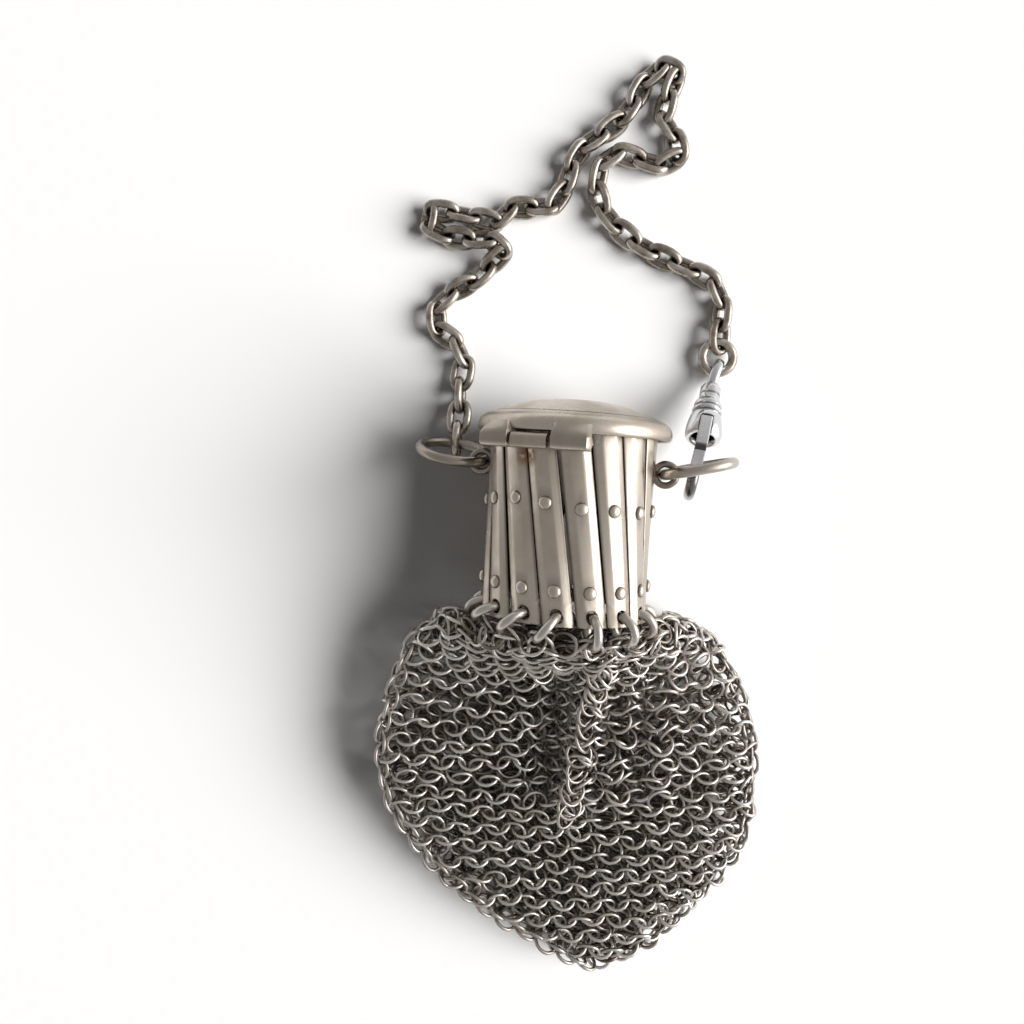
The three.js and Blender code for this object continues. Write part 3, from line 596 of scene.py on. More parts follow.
# Painted highlight and shade on the lid's knuckles: the barrel's front underside is left clean as a bright
# line, its back and the leaf are painted darker, the leaf's front more so low down.
wrap_shade_and_highlight = np.interp(np.arange(BARREL_STEPS), [0, 2, 4, 8, 11, 21], [0.32, 0.26, 0, 0, 0.3, 0.5])
leaf_shade_and_highlight = np.concatenate([wrap_shade_and_highlight, [0.5, 0.5, 0.4], [0.12, 0.15, 0.2, 0.26, 0.3, 0.32]])
leaf_grids = [
    (leaf(start, end, LEAF_TOP, lid_seat, LEAF_BLEND, LEAF_SLANT), leaf_shade_and_highlight)
    for start, end in ((-9.2, -3.75), (2.85, 9.6))
]
lid_leaves = knit("lid_leaves", leaf_grids, collar_metal, sharp=40)
settle(lid_leaves, "lid", "collar_metal")

# Hinge knuckle: the middle knuckle stands on a short tab of a slat, and a wire
# pin goes through it and the lid's two knuckles.
KNUCKLE_BACK, KNUCKLE_TOP, PIN = -0.86, 1.66, 0.45


def plain_seat(step):
    """The middle knuckle's back lies straight behind the pin."""
    return KNUCKLE_BACK + 0 * step


barrel_points = leaf(-3.5, 2.6, KNUCKLE_TOP, plain_seat, 0.0, 0.0)
# Painted shade: the middle knuckle's back and top, in the notch under the lid's band, are painted dark.
barrel_shade = np.full(barrel_points.shape[1], 0.2)
barrel_shade[BARREL_STEPS:BARREL_STEPS + 5] = [1.0, 1.0, 1.0, 1.0, 0.5]
pin_points = turned_on(hinge_at[None], hinge_along[None], [0.0, PIN, PIN, 0.0], [-8.9, -8.9, 9.2, 9.2], 16)
tab_step = np.array([-1.7, -1.7, 1.7, 1.7])[:, None]
tab_up = np.array([-0.6, -0.6, 0.75, 0.75])
tab_out = np.array([-2.5, -0.4, -0.4, -2.5])
tab_size = np.array([0.0, 1.0, 1.0, 0.0])[:, None]
tab_points = in_hinge(
    tab_step,
    tab_up.mean() + (tab_up - tab_up.mean()) * tab_size,
    tab_out.mean() + (tab_out - tab_out.mean()) * tab_size,
)
knuckle_grids = [
    (barrel_points, barrel_shade),
    (tab_points, 0.6),
    (pin_points, 0.8),
]
slat_knuckle = knit("slat_knuckle", knuckle_grids, collar_metal)
settle(slat_knuckle, "purse", "collar_metal", "hinge_pin")

# Side eyes: a small wire eye stands upright on a slat at each side, in a
# rounded drop of solder.
EYE_MEAN, EYE_WIRE, EYE_HEIGHT, EYE_SEAT, SOLDER_SEAT = 1.75, 1.12, 6.1, 0.85, 0.6
EYE_SLATS = np.array([3.25, -4.25])
ring_metal = old_metal(
    "ring_nickel", clean=(0.58, 0.55, 0.51), stained=(0.38, 0.32, 0.26), dark=(0.15, 0.105, 0.07),
    rough=(0.24, 0.42), patch=0.55,
)


def wire_rings(middle, first, second, mean, wire, steps, sides):
    """Round rings: a circle of the mean size in the plane of two directions, carrying a round wire section.
    Works on any number of rings at once."""
    turn = once_round(steps)[:, None]
    roll = once_round(sides)
    out_by = mean + wire / 2 * np.cos(roll)
    third = np.cross(first, second)
    return (
        middle[..., None, None, :]
        + (out_by * np.cos(turn))[..., None] * first[..., None, None, :]
        + (out_by * np.sin(turn))[..., None] * second[..., None, None, :]
        + (wire / 2 * np.sin(roll))[:, None] * third[..., None, None, :]
    )


eye_angle, eye_back = slat_middle(EYE_SLATS, EYE_HEIGHT)
eye_at = on_collar(eye_angle, eye_back + EYE_SEAT + EYE_MEAN, EYE_HEIGHT)
eye_way = np.stack([collar_way(a) for a in eye_angle])
eye_points = wire_rings(eye_at, eye_way, np.repeat(collar_axis, 2, 0), EYE_MEAN, EYE_WIRE, 40, 12)
solder_at = on_collar(eye_angle, eye_back + SOLDER_SEAT, EYE_HEIGHT)
solder_radius = [0.0, 1.25, 1.2, 0.95, 0.6, 0.0]
solder_height = [0.0, 0.1, 0.3, 0.5, 0.62, 0.66]
solder_points = turned_on(solder_at, eye_way, solder_radius, solder_height, 20)
side_eyes = knit("side_eyes", [(eye_points, 0.6, True, True), (solder_points, 0.85)], ring_metal)
settle(side_eyes, "purse", "ring_metal")

# Jump rings: a heavy wire ring hangs in each side eye. The chain starts in the
# left one, and the clasp's hook is fastened in the right one.
JUMP_MEAN, JUMP_WIRE = 5.95, 1.78


def ring_ways(yaw, pitch):
    """Two directions in the plane of a jump ring that faces along +Y before it is pitched and yawed."""
    yaw, pitch = np.radians(yaw), np.radians(pitch)
    level = np.array([np.cos(yaw), np.sin(yaw), 0.0])
    facing = np.array([-np.sin(yaw) * np.cos(pitch), np.cos(yaw) * np.cos(pitch), np.sin(pitch)])
    return level, np.cross(facing, level)


for side, middle, yaw, pitch, darkening in (
    ("left", (-19.85, 12.381, 9.6), -10.0, 15.0, 0.42),
    ("right", (20.5, 9.451, 16.97), 10.0, 0.0, 0.12),
):
    points = wire_rings(np.array(middle), *ring_ways(yaw, pitch), JUMP_MEAN, JUMP_WIRE, 72, 16)
    jump_ring = knit("ring_" + side, [(points, darkening, True, True)], ring_metal, sharp=None)
    settle(jump_ring, "purse", "ring_metal", "jump_ring_" + side)

# Foot rings: thick open wire rings through the slats' feet, from which the
# mail hangs; each swings a little to its own side.
FOOT_MEAN, FOOT_WIRE, FOOT_SEAT = 2.3, 1.5, 0.43
LEAN_BEHIND, LEAN_CHANGE = 16.0, 24.0


def square_to(way, other):
    """A direction with its share along another one taken away, so that the two stand square."""
    return unit(way - other * (way * other).sum(-1, keepdims=True))


foot_swing = np.radians([8, -12, -40, -58, -50, -38, 6, 22, 30, 34, 20, -10, 5, 12])[:, None]
foot_angle, foot_back = slat_middle(slat_number, RING_HOLE_AT)
front_share = (1 + np.cos(np.radians(foot_angle))) / 2
foot_lean = np.radians(LEAN_BEHIND - LEAN_CHANGE * front_share)[:, None]
foot_way = np.stack([collar_way(a) for a in foot_angle])
foot_aside = np.stack([collar_way(a + 90) for a in foot_angle])
foot_hang = (foot_aside * np.sin(foot_swing) - collar_axis * np.cos(foot_swing)) * np.cos(foot_lean)
foot_hang = foot_hang - foot_way * np.sin(foot_lean)
foot_out = square_to(foot_way * np.cos(foot_lean), foot_hang)
foot_middle = on_collar(foot_angle, foot_back + FOOT_SEAT, RING_HOLE_AT) + FOOT_MEAN * foot_hang
foot_points = wire_rings(foot_middle, foot_out, foot_hang, FOOT_MEAN, FOOT_WIRE, 44, 14)
foot_rings = knit("foot_rings", [(foot_points, 0.0, True, True)], ring_metal, sharp=None)
settle(foot_rings, "purse", "ring_metal", *[f"mail_ring_{i:02d}" for i in range(1, SLATS + 1)])

# Mail, front and back: about eleven hundred small rings of silver wire, each
# linked through four others. The rows lie flat on the table behind and in
# soft folds in front.
MAIL_MEAN, MAIL_WIRE, MAIL_STEPS, MAIL_SIDES = 2.1, 0.66, 16, 5
MAIL_ACROSS, MAIL_DOWN, MAIL_TILT, MAIL_LEAN = 2.4, 1.6, 40.0, 16.0
BACK_WIRE, BACK_DOWN = 0.74, 1.4
MAIL_DEPTH, EDGE_LIFT, TABLE_ROOM = 1.7, 0.78, 0.02
ROW_MOST, ROW_END, ROW_KEY, NEAR_BY = 22, 0.5, 1000.0, 0.004
RING_SWAY, RING_STRAY = 8, 0.07
# An even grime over the mail, painted shade near the collar, and painted shade that grows lower down on each
# ring.
MAIL_GRIME, MOUTH_SHADE, PAINTED_SHADE_BY_HEIGHT = 0.39, 0.26, 0.37
mail_metal = old_metal(
    "mail_silver", clean=(0.73, 0.695, 0.655), stained=(0.48, 0.425, 0.375), dark=(0.135, 0.105, 0.08),
    rough=(0.24, 0.40), patch=0.55, bump=0.05,
)
# The tables of the mail and the chain are drawn from an origin of their own,
# and this shift brings them into the shared frame.
DRAWING_SHIFT = [-10.0, 1.531, 0.0]
# A pouch section: y, middle x, half width, bottom, top, level of its edges, how
# far its edges lie up the pouch, and its turn in degrees.
POUCH = np.array([
    [-16.85, 8.24, 13.85, 2.1, 29.8, 16.0, 0, -4],
    [-19.3, 8.08, 14.1, 1.7, 29.4, 15.6, 0, -4],
    [-21.0, 8.1, 19.5, 0.6, 27.0, 11.0, 3.6, -3],
    [-23.0, 8.5, 22.6, 0.0, 23.0, 8.0, 4.5, -2],
    [-26.0, 9.0, 27.0, 0.0, 18.0, 6.4, 4.0, -1],
    [-31.0, 9.6, 31.0, 0.0, 14.2, 5.4, 2.0, 0],
    [-40.0, 10.0, 34.0, 0.0, 12.0, 5.0, 0, 0],
    [-49.0, 10.5, 33.3, 0.0, 11.2, 4.8, 0, 0],
    [-56.5, 12.1, 30.7, 0.0, 10.4, 4.6, 0, 0],
    [-64.0, 13.2, 25.8, 0.0, 9.4, 4.4, 0, 0],
    [-71.2, 14.2, 18.2, 0.0, 8.6, 4.2, 0, 0],
    [-76.0, 15.8, 12.2, 0.0, 7.8, 3.8, 0, 0],
    [-79.2, 16.0, 7.4, 0.2, 6.8, 3.4, 0, 0],
    [-81.0, 15.6, 3.6, 1.2, 5.4, 3.2, 0, 0],
])
MOUTH_TURN = -4.0
# A fold: x and y of its upper end, x and y of its lower end, height and width.
FOLDS = np.array([
    [14.7, -23.5, 9.8, -51.0, 4.2, 2.1],
    [9.0, -24.0, 5.6, -49.0, -4.6, 2.8],
    [20.4, -25.0, 17.4, -54.0, 1.6, 2.0],
    [23.8, -25.0, 20.8, -46.0, -2.2, 1.6],
    [26.8, -24.0, 24.8, -56.0, 1.9, 2.2],
    [-4.0, -27.0, -8.0, -44.0, 0.9, 4.0],
])


def through(rows, at):
    """A smooth curve through the rows of a table, by the cubic that leaves each row along its neighbours'
    line."""
    index = np.clip(np.floor(at).astype(int), 0, len(rows) - 2)
    share = (at - index)[..., None]
    before, here = rows[np.maximum(index - 1, 0)], rows[index]
    there, after = rows[index + 1], rows[np.minimum(index + 2, len(rows) - 1)]
    return 0.5 * (
        2 * here + (there - before) * share + (2 * before - 5 * here + 4 * there - after) * share**2
        + (3 * here - before - 3 * there + after) * share**3
    )


def ease_step(value, low, high):
    """Zero below low and one above high, with a smooth cubic between them."""
    share = np.clip((value - low) / (high - low), 0, 1)
    return share * share * (3 - 2 * share)


def run_along(points):
    """How far each point of a line lies from its start: the sum of the steps before it."""
    steps = np.linalg.norm(np.diff(points, axis=-2), axis=-1)
    return np.concatenate([np.zeros((*steps.shape[:-1], 1)), np.cumsum(steps, -1)], -1)


def fold_rise(x, y):
    """Ridges and valleys of the upper side: each is a bell curve across its line, fading out at both ends."""
    start_x, start_y, end_x, end_y, height, width = FOLDS.T
    along = (y[..., None] - start_y) / (end_y - start_y)
    line = start_x + (end_x - start_x) * along
    fade = ease_step(along, -0.12, 0.2) * (1 - ease_step(along, 0.75, 1.15))
    return (height * fade * np.exp(-(((x[..., None] - line) / width) ** 2))).sum(-1)


def on_pouch(at, swing, front, sunk=MAIL_DEPTH):
    """A point of the pouch's middle layer, by the place along its sections and the swing from the left edge
    to the right one: half an ellipse above the edge line in front, a flatter curve below it behind."""
    along, middle, half, bottom, top, edge, sag, turn = np.moveaxis(through(POUCH, at), -1, 0)
    mouth = np.clip(turn / MOUTH_TURN, 0, 1)
    turn = np.radians(turn)
    across = np.sin(swing)
    half = np.maximum(half - sunk, 0.3)
    x = middle + half * across * np.cos(turn)
    y = along + half * across * np.sin(turn) + sag * across**2
    edge = edge + EDGE_LIFT * (top - edge) * ease_step(-across, 0.2, 1.0) * (1 - mouth)
    if front:
        power = 2.5 - 0.5 * mouth
        rise = np.maximum(0, 1 - np.abs(across) ** power) ** (1 / power)
        z = edge + np.maximum(top - edge - sunk, 0.2) * rise + fold_rise(x, y) * np.sqrt(np.abs(rise))
    else:
        rise = np.cos(swing) * mouth + (1 - np.clip(across**4, 0, 1)) ** 0.25 * (1 - mouth)
        z = edge - np.maximum(edge - bottom - sunk, 0.2) * rise
    return np.stack([x, y, z], -1) + DRAWING_SHIFT


def pouch_ways(at, swing, front):
    """Directions along a row, down the pouch and out of its face, from points close by on each side."""
    facing = 1 if front else -1
    along = unit(on_pouch(at, swing + NEAR_BY, front) - on_pouch(at, swing - NEAR_BY, front))
    below = on_pouch(at + NEAR_BY, swing, front) - on_pouch(at - NEAR_BY, swing, front)
    outward = unit(np.cross(below, along) * facing)
    return along, np.cross(along, outward) * facing, outward


def beyond_crest(place):
    """How far a place belongs to the steep side of the main fold: one just right of the crest's line, fading
    out farther right and below the fold's end."""
    past = place[:, 0] + 10.0 - np.interp(-place[:, 1], [25.0, 52.5], [14.7, 9.8])
    share = ease_step(past, 0.0, 2.5) * (1 - ease_step(past, 10.0, 15.0))
    return share * (1 - ease_step(-place[:, 1], 54.0, 64.0))


def off_table(centre, first, second, wire):
    """Middles of mail rings, raised where a ring would reach into the table: its lowest point lies under its
    middle by its mean size times the sine of its slope, and half its wire."""
    reach = np.sqrt(np.maximum(0, 1 - np.cross(first, second)[:, 2] ** 2)) * MAIL_MEAN + wire / 2
    return np.column_stack([centre[:, :2], np.maximum(centre[:, 2], reach + TABLE_ROOM)])


def mail_rings(centre, first, second, wire=MAIL_WIRE):
    """Wire rings of the mail's size."""
    return wire_rings(centre, first, second, MAIL_MEAN, wire, MAIL_STEPS, MAIL_SIDES)


def strayed(stop, swing, front):
    """How far down the pouch a ring of a row really lies: the front's rows slant in the middle, and all rows
    stray in two slow waves."""
    slant = 3.0 * front * ease_step(stop, 10, 26) * (1 - ease_step(stop, 50, 70))
    waves = 0.35 * np.sin(5 * swing + 0.35 * stop) + 0.2 * np.sin(11 * swing - 0.8 * stop)
    return stop + slant * np.sin(swing) + waves * ease_step(stop, 4, 16)


def mail_rows(front, seed, wire, drop):
    """Rings laid in rows at even steps down the pouch and even steps across it, every other row set over by
    half a step and tilted the other way, so that each ring goes through two above and two below it. Over an
    even grime, each ring is painted darker low down and lighter at its top, and the front's first rows are
    painted darker near the collar: painted shade."""
    chance = np.random.default_rng(seed)
    fine = np.linspace(1.08, len(POUCH) - 1.2, 1200)
    down = run_along(on_pouch(fine, 0 * fine, front))
    count = int(down[-1] / drop)
    row = np.arange(count)[:, None]
    row_at = np.linspace(0.0, down[-1], count)[:, None]
    swing = np.repeat(np.radians(np.linspace(-89, 89, 241))[None], count, 0)
    place = np.interp(strayed(row_at, swing, front), down, fine)
    length = run_along(on_pouch(place, swing, front))
    length = length - length[:, [swing.shape[1] // 2]]
    column = np.arange(-ROW_MOST, ROW_MOST + 1)[None]
    offset = (column + 0.5 * (row % 2)) * 2 * MAIL_ACROSS
    inside = (offset > length[:, :1] + ROW_END) & (offset < length[:, -1:] - ROW_END)
    key = row * ROW_KEY
    ring_swing = np.interp((key + offset)[inside], (key + length).ravel(), swing.ravel())
    ring_row = np.repeat(row, column.shape[1], 1)[inside]
    ring_down = strayed(row_at[ring_row, 0], ring_swing, front)
    depth = np.interp(ring_down, down, fine)
    centre = on_pouch(depth, ring_swing, front)
    along, below, outward = pouch_ways(depth, ring_swing, front)
    steep = 0.5 + 0.5 * ease_step(ring_down, 1.0, 13.0) if front else 1.0
    loose = 1 + 1.6 * (1 - ease_step(ring_down, 3.0, 12.0)) * front
    tilt = np.radians(MAIL_TILT * steep + loose * chance.normal(0, RING_SWAY, len(centre)))
    lean = np.radians(MAIL_LEAN) * (1 - 0.9 * beyond_crest(centre)) * front
    tilt = (tilt * np.where(ring_row % 2 == 0, 1, -1) + lean)[:, None]
    yaw = np.radians(loose * chance.normal(0, RING_SWAY, len(centre)))[:, None]
    first = along * np.cos(yaw) + outward * np.sin(yaw)
    second = square_to(below * np.cos(tilt) + outward * np.sin(tilt), first)
    centre = off_table(centre + chance.normal(0, RING_STRAY, centre.shape), first, second, wire)
    points = mail_rings(centre, first, second, wire)
    height = ((points - centre[:, None, None]) * outward[:, None, None]).sum(-1)
    mouth_shade = (MOUTH_SHADE * (1 - ease_step(ring_down, 5.0, 15.0)) * front)[:, None, None]
    return points, np.clip(MAIL_GRIME + mouth_shade - PAINTED_SHADE_BY_HEIGHT * height, 0, 1)


front_grid = (*mail_rows(True, 11, MAIL_WIRE, MAIL_DOWN), True, True)
mail_front = knit("mail_front", [front_grid], mail_metal, weld=False, sharp=None)
settle(mail_front, "purse", "mail_metal", "pouch")
back_grid = (*mail_rows(False, 23, BACK_WIRE, BACK_DOWN), True, True)
mail_back = knit("mail_back", [back_grid], mail_metal, weld=False, sharp=None)
settle(mail_back, "purse", "mail_metal", "pouch")

# Mail edge: rings of the same wire that join the front and the back along both
# sides, hang two by two in the foot rings, and lie loose on the main fold.
EDGE_STEP, EDGE_TILT, EDGE_DEPTH = 2.15, 68, 1.5
DROP_IN_FRONT, DROP_BEHIND, PAIR_TURN = -55.0, 8.0, 24.0
CREST_RINGS, CREST_STRAY, CREST_TURN = 13, 0.22, 34
# Grime and painted shade round the edge rings' wire: darker on the inside of each ring.
EDGE_RING_GRIME_AND_SHADE = np.array([0.32, 0.42, 0.75, 0.75, 0.42])
FOLD_CREST = np.array([
    [14.9, -24.0, 20.4], [13.4, -30.0, 16.8], [12.4, -35.0, 15.6],
    [11.3, -41.0, 14.7], [10.3, -47.0, 13.4], [9.7, -52.0, 12.0],
]) + DRAWING_SHIFT
edge_chance = np.random.default_rng(37)


def at_run(line, run, stop):
    """Points of a line at stops along its run, straight between the points that it has."""
    return np.stack([np.interp(stop, run, line[:, i]) for i in range(3)], -1)


def side_rings(sign):
    """The rings that join both layers along one side of the pouch: even steps along the edge line, tilted in
    turn up and down."""
    fine = np.linspace(1.3, len(POUCH) - 1.0, 900)
    line = on_pouch(fine, np.full(len(fine), sign * np.pi / 2), True, EDGE_DEPTH)
    run = run_along(line)
    stop = np.arange(0.0, run[-1], EDGE_STEP)
    centre = at_run(line, run, stop)
    along = unit(np.gradient(centre, axis=0))
    aside = unit(np.cross(along, [0, 0, 1.0]) * -sign)
    up_or_down = np.where(np.arange(len(stop)) % 2 == 0, EDGE_TILT, -EDGE_TILT)
    tilt = np.radians(edge_chance.normal(0, 10, len(stop)) + up_or_down)[:, None]
    second = aside * np.cos(tilt) + np.cross(aside, along) * np.sin(tilt)
    return mail_rings(off_table(centre, along, second, MAIL_WIRE), along, second)


def hanging_rings(turn):
    """One ring from each foot ring: it hangs steeply behind, slants inwards in front, and is turned aside."""
    drop = np.radians(DROP_IN_FRONT * front_share + DROP_BEHIND * (1 - front_share))[:, None]
    hang = foot_way * np.sin(drop) - collar_axis * np.cos(drop)
    aside = foot_aside * np.cos(np.radians(turn)) + np.cross(hang, foot_aside) * np.sin(np.radians(turn))
    top = foot_middle + (FOOT_MEAN - 1.0) * foot_hang + foot_way * turn / 60
    return mail_rings(top + MAIL_MEAN * hang, aside, hang)


def crest_rings():
    """Loose rings at even steps down the main fold's crest, each turned and tilted by chance."""
    crest = through(FOLD_CREST, np.linspace(0, len(FOLD_CREST) - 1, CREST_RINGS))
    crest = crest + edge_chance.normal(0, CREST_STRAY, crest.shape)
    slope = unit(np.gradient(crest, axis=0))
    aside = unit(np.cross(slope, [0, 0, 1.0]) * -1)
    outward = np.cross(aside, slope) * -1
    tilt = np.radians(CREST_TURN + edge_chance.normal(0, 12, len(crest)))[:, None]
    yaw = np.radians(CREST_TURN + edge_chance.normal(0, 18, len(crest)))[:, None]
    first = aside * np.cos(yaw) - outward * np.sin(yaw)
    second = square_to(slope * np.cos(tilt) + outward * np.sin(tilt), first)
    return mail_rings(crest, first, second)


edge_points = np.concatenate([
    side_rings(-1), side_rings(1), hanging_rings(-PAIR_TURN), hanging_rings(PAIR_TURN), crest_rings()
])
mail_edge = knit("mail_edge", [(edge_points, EDGE_RING_GRIME_AND_SHADE, True, True)], mail_metal, weld=False, sharp=None)
settle(mail_edge, "purse", "mail_metal", "pouch")

# Chain: oval links of drawn wire, each turned a quarter against the next, from
# the left jump ring across the table to a round ring at the clasp.
LINK_WIDTH, LINK_WIRE, LINK_STEP = 4.6, 1.46, 4.0
LINK_TURNS, LINK_SIDES, LINK_POWER, LINK_ROOM = 32, 10, 0.8, 0.03
chain_metal = old_metal(
    "chain_nickel", clean=(0.56, 0.515, 0.46), stained=(0.21, 0.17, 0.135), dark=(0.04, 0.03, 0.022),
    rough=(0.15, 0.34), patch=0.85, bump=0.3, size=2.0,
)
ROUTE = np.array([
    [-9.9, 11.2, 4.1], [-9.7, 15.1, 3.4], [-9.3, 19.4, 2.4], [-9.2, 23.7, 2.0], [-8.5, 27.9, 1.9],
    [-10.6, 31.0, 1.9], [-13.6, 33.0, 1.9], [-13.7, 36.2, 1.9], [-11.3, 38.9, 1.9], [-8.0, 40.6, 1.9],
    [-5.0, 42.5, 1.9], [-3.4, 45.0, 2.4], [-0.9, 46.8, 3.4], [-3.8, 48.3, 3.6], [-7.9, 48.5, 2.9],
    [-12.0, 49.2, 2.0], [-15.1, 51.0, 1.9], [-15.6, 53.3, 1.9], [-12.6, 53.9, 1.9], [-9.0, 52.9, 2.0],
    [-5.6, 52.3, 2.0], [-2.2, 51.5, 2.0], [-0.5, 53.9, 2.0], [2.2, 54.9, 1.9], [5.0, 53.5, 1.9],
    [7.6, 54.8, 1.9], [9.3, 57.4, 1.9], [10.4, 61.2, 1.9], [12.6, 64.8, 1.9], [16.4, 67.4, 1.9],
    [20.0, 70.2, 1.9], [22.4, 74.2, 1.9], [25.0, 78.0, 1.9], [28.6, 78.9, 2.2], [29.0, 75.6, 2.4],
    [26.9, 72.4, 2.0], [27.0, 68.4, 1.9], [29.6, 65.6, 1.9], [29.0, 61.9, 2.2], [25.0, 61.6, 2.0],
    [21.0, 63.2, 2.3], [17.4, 63.4, 3.0], [15.0, 59.6, 2.5], [15.9, 54.2, 1.9], [21.0, 48.7, 1.9],
    [28.6, 44.7, 1.9], [35.4, 41.6, 1.9], [37.6, 37.2, 1.9], [37.3, 33.35, 2.1], [36.95, 29.45, 2.25],
]) + DRAWING_SHIFT


def full_wave(wave):
    """A sine or cosine made fuller by raising its size to a power below one."""
    return np.sign(wave) * np.abs(wave) ** LINK_POWER


def chain_points():
    """Links at even steps along the route: each is a full oval, a circle whose sine and cosine are raised to
    0.8, with a round wire section along it, rolled about its length by a quarter turn against the next."""
    chance = np.random.default_rng(5)
    fine = through(ROUTE, np.linspace(0, len(ROUTE) - 1, 4001))
    run = run_along(fine)
    count = int(round(run[-1] / LINK_STEP))
    joint = at_run(fine, run, np.linspace(0, run[-1], count + 1))
    span = np.diff(joint, axis=0)
    length = np.linalg.norm(span, axis=1)[:, None]
    along = span / length
    flat = unit(np.cross([0, 0, 1.0], along))
    upright = np.cross(along, flat)
    order = np.arange(count)
    base = 45.0 + 45.0 * (1 - ease_step(order, 0, 7)) + 15.0 * ease_step(order, count - 5, count - 1)
    roll = np.radians(base + 90.0 * (order % 2) + chance.normal(0, 5, count))[:, None]
    aside = flat * np.cos(roll) + upright * np.sin(roll)
    third = np.cross(along, aside)
    turn = once_round(LINK_TURNS)[None] + np.pi / LINK_TURNS
    swell = once_round(LINK_SIDES)
    long_half, wide_half = (length + LINK_WIRE) / 2, (LINK_WIDTH - LINK_WIRE) / 2
    far = long_half * full_wave(np.cos(turn))
    wide = wide_half * full_wave(np.sin(turn))
    lead = np.sign(far) * np.abs(far / long_half) ** 1.5 / long_half
    push = np.sign(wide) * np.abs(wide / wide_half) ** 1.5 / wide_half
    lead, push = lead / np.hypot(lead, push), push / np.hypot(lead, push)
    bulge = LINK_WIRE / 2 * np.cos(swell)
    far = far[..., None] + lead[..., None] * bulge
    wide = (wide + 0 * long_half)[..., None] + push[..., None] * bulge
    thick = LINK_WIRE / 2 * np.sin(swell) + 0 * far
    middle = (joint[1:] + joint[:-1]) / 2
    points = (
        middle[:, None, None] + far[..., None] * along[:, None, None] + wide[..., None] * aside[:, None, None]
        + thick[..., None] * third[:, None, None]
    )
    points[..., 2] += np.maximum(0, LINK_ROOM - points[..., 2].min((1, 2)))[:, None, None]
    at_end = ease_step(np.abs(np.cos(turn)), 0.55, 0.95)[..., None]
    within = ease_step(-np.cos(swell), -0.5, 0.8)
    return points, np.clip(at_end * within + 0.5 * within, 0, 1)


chain_links = knit("chain_links", [(*chain_points(), True, True)], chain_metal, weld=False, sharp=None)
settle(chain_links, "purse", "chain_metal", "chain", "chain_link_left", "chain_link_right")

# End ring: a round ring of thicker wire that lies flat on the table and joins
# the chain's last link to the clasp's swivel eye.
END_AT, END_MEAN, END_WIRE = np.array([26.75, 29.281, 2.1]), 2.72, 1.66
level_ways = np.array([1.0, 0, 0]), np.array([0, 1.0, 0])
end_ring_points = wire_rings(END_AT, *level_ways, END_MEAN, END_WIRE, 48, 14)
end_ring = knit("end_ring", [(end_ring_points, 0.0, True, True)], chain_metal, sharp=None)
settle(end_ring, "purse", "chain_metal", "chain_ring")

# Clasp bell: the bright plated body of the swivel clasp, turned with a neck
# and grooves, slotted for the lever, with a bent hook fixed in its mouth.
CLASP_ROLL = np.radians(9.0)
SLOT_HALF, SLOT_END, SLOT_FROM, SLOT_DEEP = np.radians(22), 15.6, 2.45, 0.3
HOOK_WIRE_HALF, HOOK_STEPS = 0.95, 60
clasp_metal = old_metal(
    "clasp_plate", clean=(0.74, 0.75, 0.765), stained=(0.60, 0.60, 0.60), dark=(0.06, 0.06, 0.06),
    rough=(0.1, 0.26), patch=0.4, bump=0.05,
)
clasp_from = np.array([20.1, 4.131, 14.6])
clasp_way = unit(np.array([6.6, 25.0, -13.6]))
clasp_level = unit(np.cross(clasp_way, [0, 0, 1.0]))
clasp_above = np.cross(clasp_level, clasp_way)
clasp_side = clasp_level * np.cos(CLASP_ROLL) + clasp_above * np.sin(CLASP_ROLL)
clasp_up = clasp_above * np.cos(CLASP_ROLL) - clasp_level * np.sin(CLASP_ROLL)


def in_clasp(across, along, up):
    """A point of the clasp by its place across, along from the hook's end, and up."""
    across, along, up = np.broadcast_arrays(*[np.asarray(v, float)[..., None] for v in (across, along, up)])
    return clasp_from + across * clasp_side + along * clasp_way + up * clasp_up


def bent_bar(path, radius, sides, steps, aside):
    """A round bar along a smooth curve through a few points; its section stands across the curve, with one
    direction of it held aside. Both ends are rounded off."""
    place = through(np.asarray(path), np.linspace(0, len(path) - 1, steps))
    way = unit(np.gradient(place, axis=0))
    over = unit(np.cross(way, aside))
    side_way = np.cross(over, way)
    cap = np.array([0.0, 0.5, 0.8, 0.95])
    beyond = (radius * 0.5 * (1 - cap))[:, None]
    size = np.concatenate([radius * cap, np.full(steps, radius), radius * cap[::-1]])[:, None, None]
    place = np.concatenate([place[:1] - way[:1] * beyond, place, place[-1:] + way[-1:] * beyond[::-1]])
    both_ends = ((len(cap), len(cap)), (0, 0))
    over, side_way = np.pad(over, both_ends, "edge"), np.pad(side_way, both_ends, "edge")
    spin = once_round(sides)[:, None]
    return place[:, None] + size * (np.cos(spin) * side_way[:, None] + np.sin(spin) * over[:, None])


bell_rows = np.array([
    [0.0, 13.9], [1.75, 13.9], [1.8, 13.0], [1.95, 12.35], [2.35, 12.02], [2.75, 12.05], [3.05, 12.45],
    [3.2, 13.2], [3.15, 14.3], [2.98, 15.4], [2.95, 15.6], [2.78, 16.4], [2.52, 16.9], [2.3, 17.1],
    [2.28, 17.25], [2.55, 17.45], [2.62, 17.75], [2.5, 18.05], [2.2, 18.2], [2.2, 18.35], [2.42, 18.55],
    [2.44, 19.0], [2.28, 19.4], [1.98, 19.75], [1.86, 20.0], [1.84, 20.8], [1.64, 20.95], [1.64, 21.15],
    [1.84, 21.3], [1.8, 22.6], [1.6, 22.95], [0.0, 23.0],
])
BELL_INSIDE, BELL_GROOVES = 3, [13, 14, 18, 19, 26, 27]
bell_radius, bell_along = bell_rows[:, :1], bell_rows[:, 1:]
bell_spin = np.linspace(-np.pi, np.pi, 96, endpoint=False)[None]
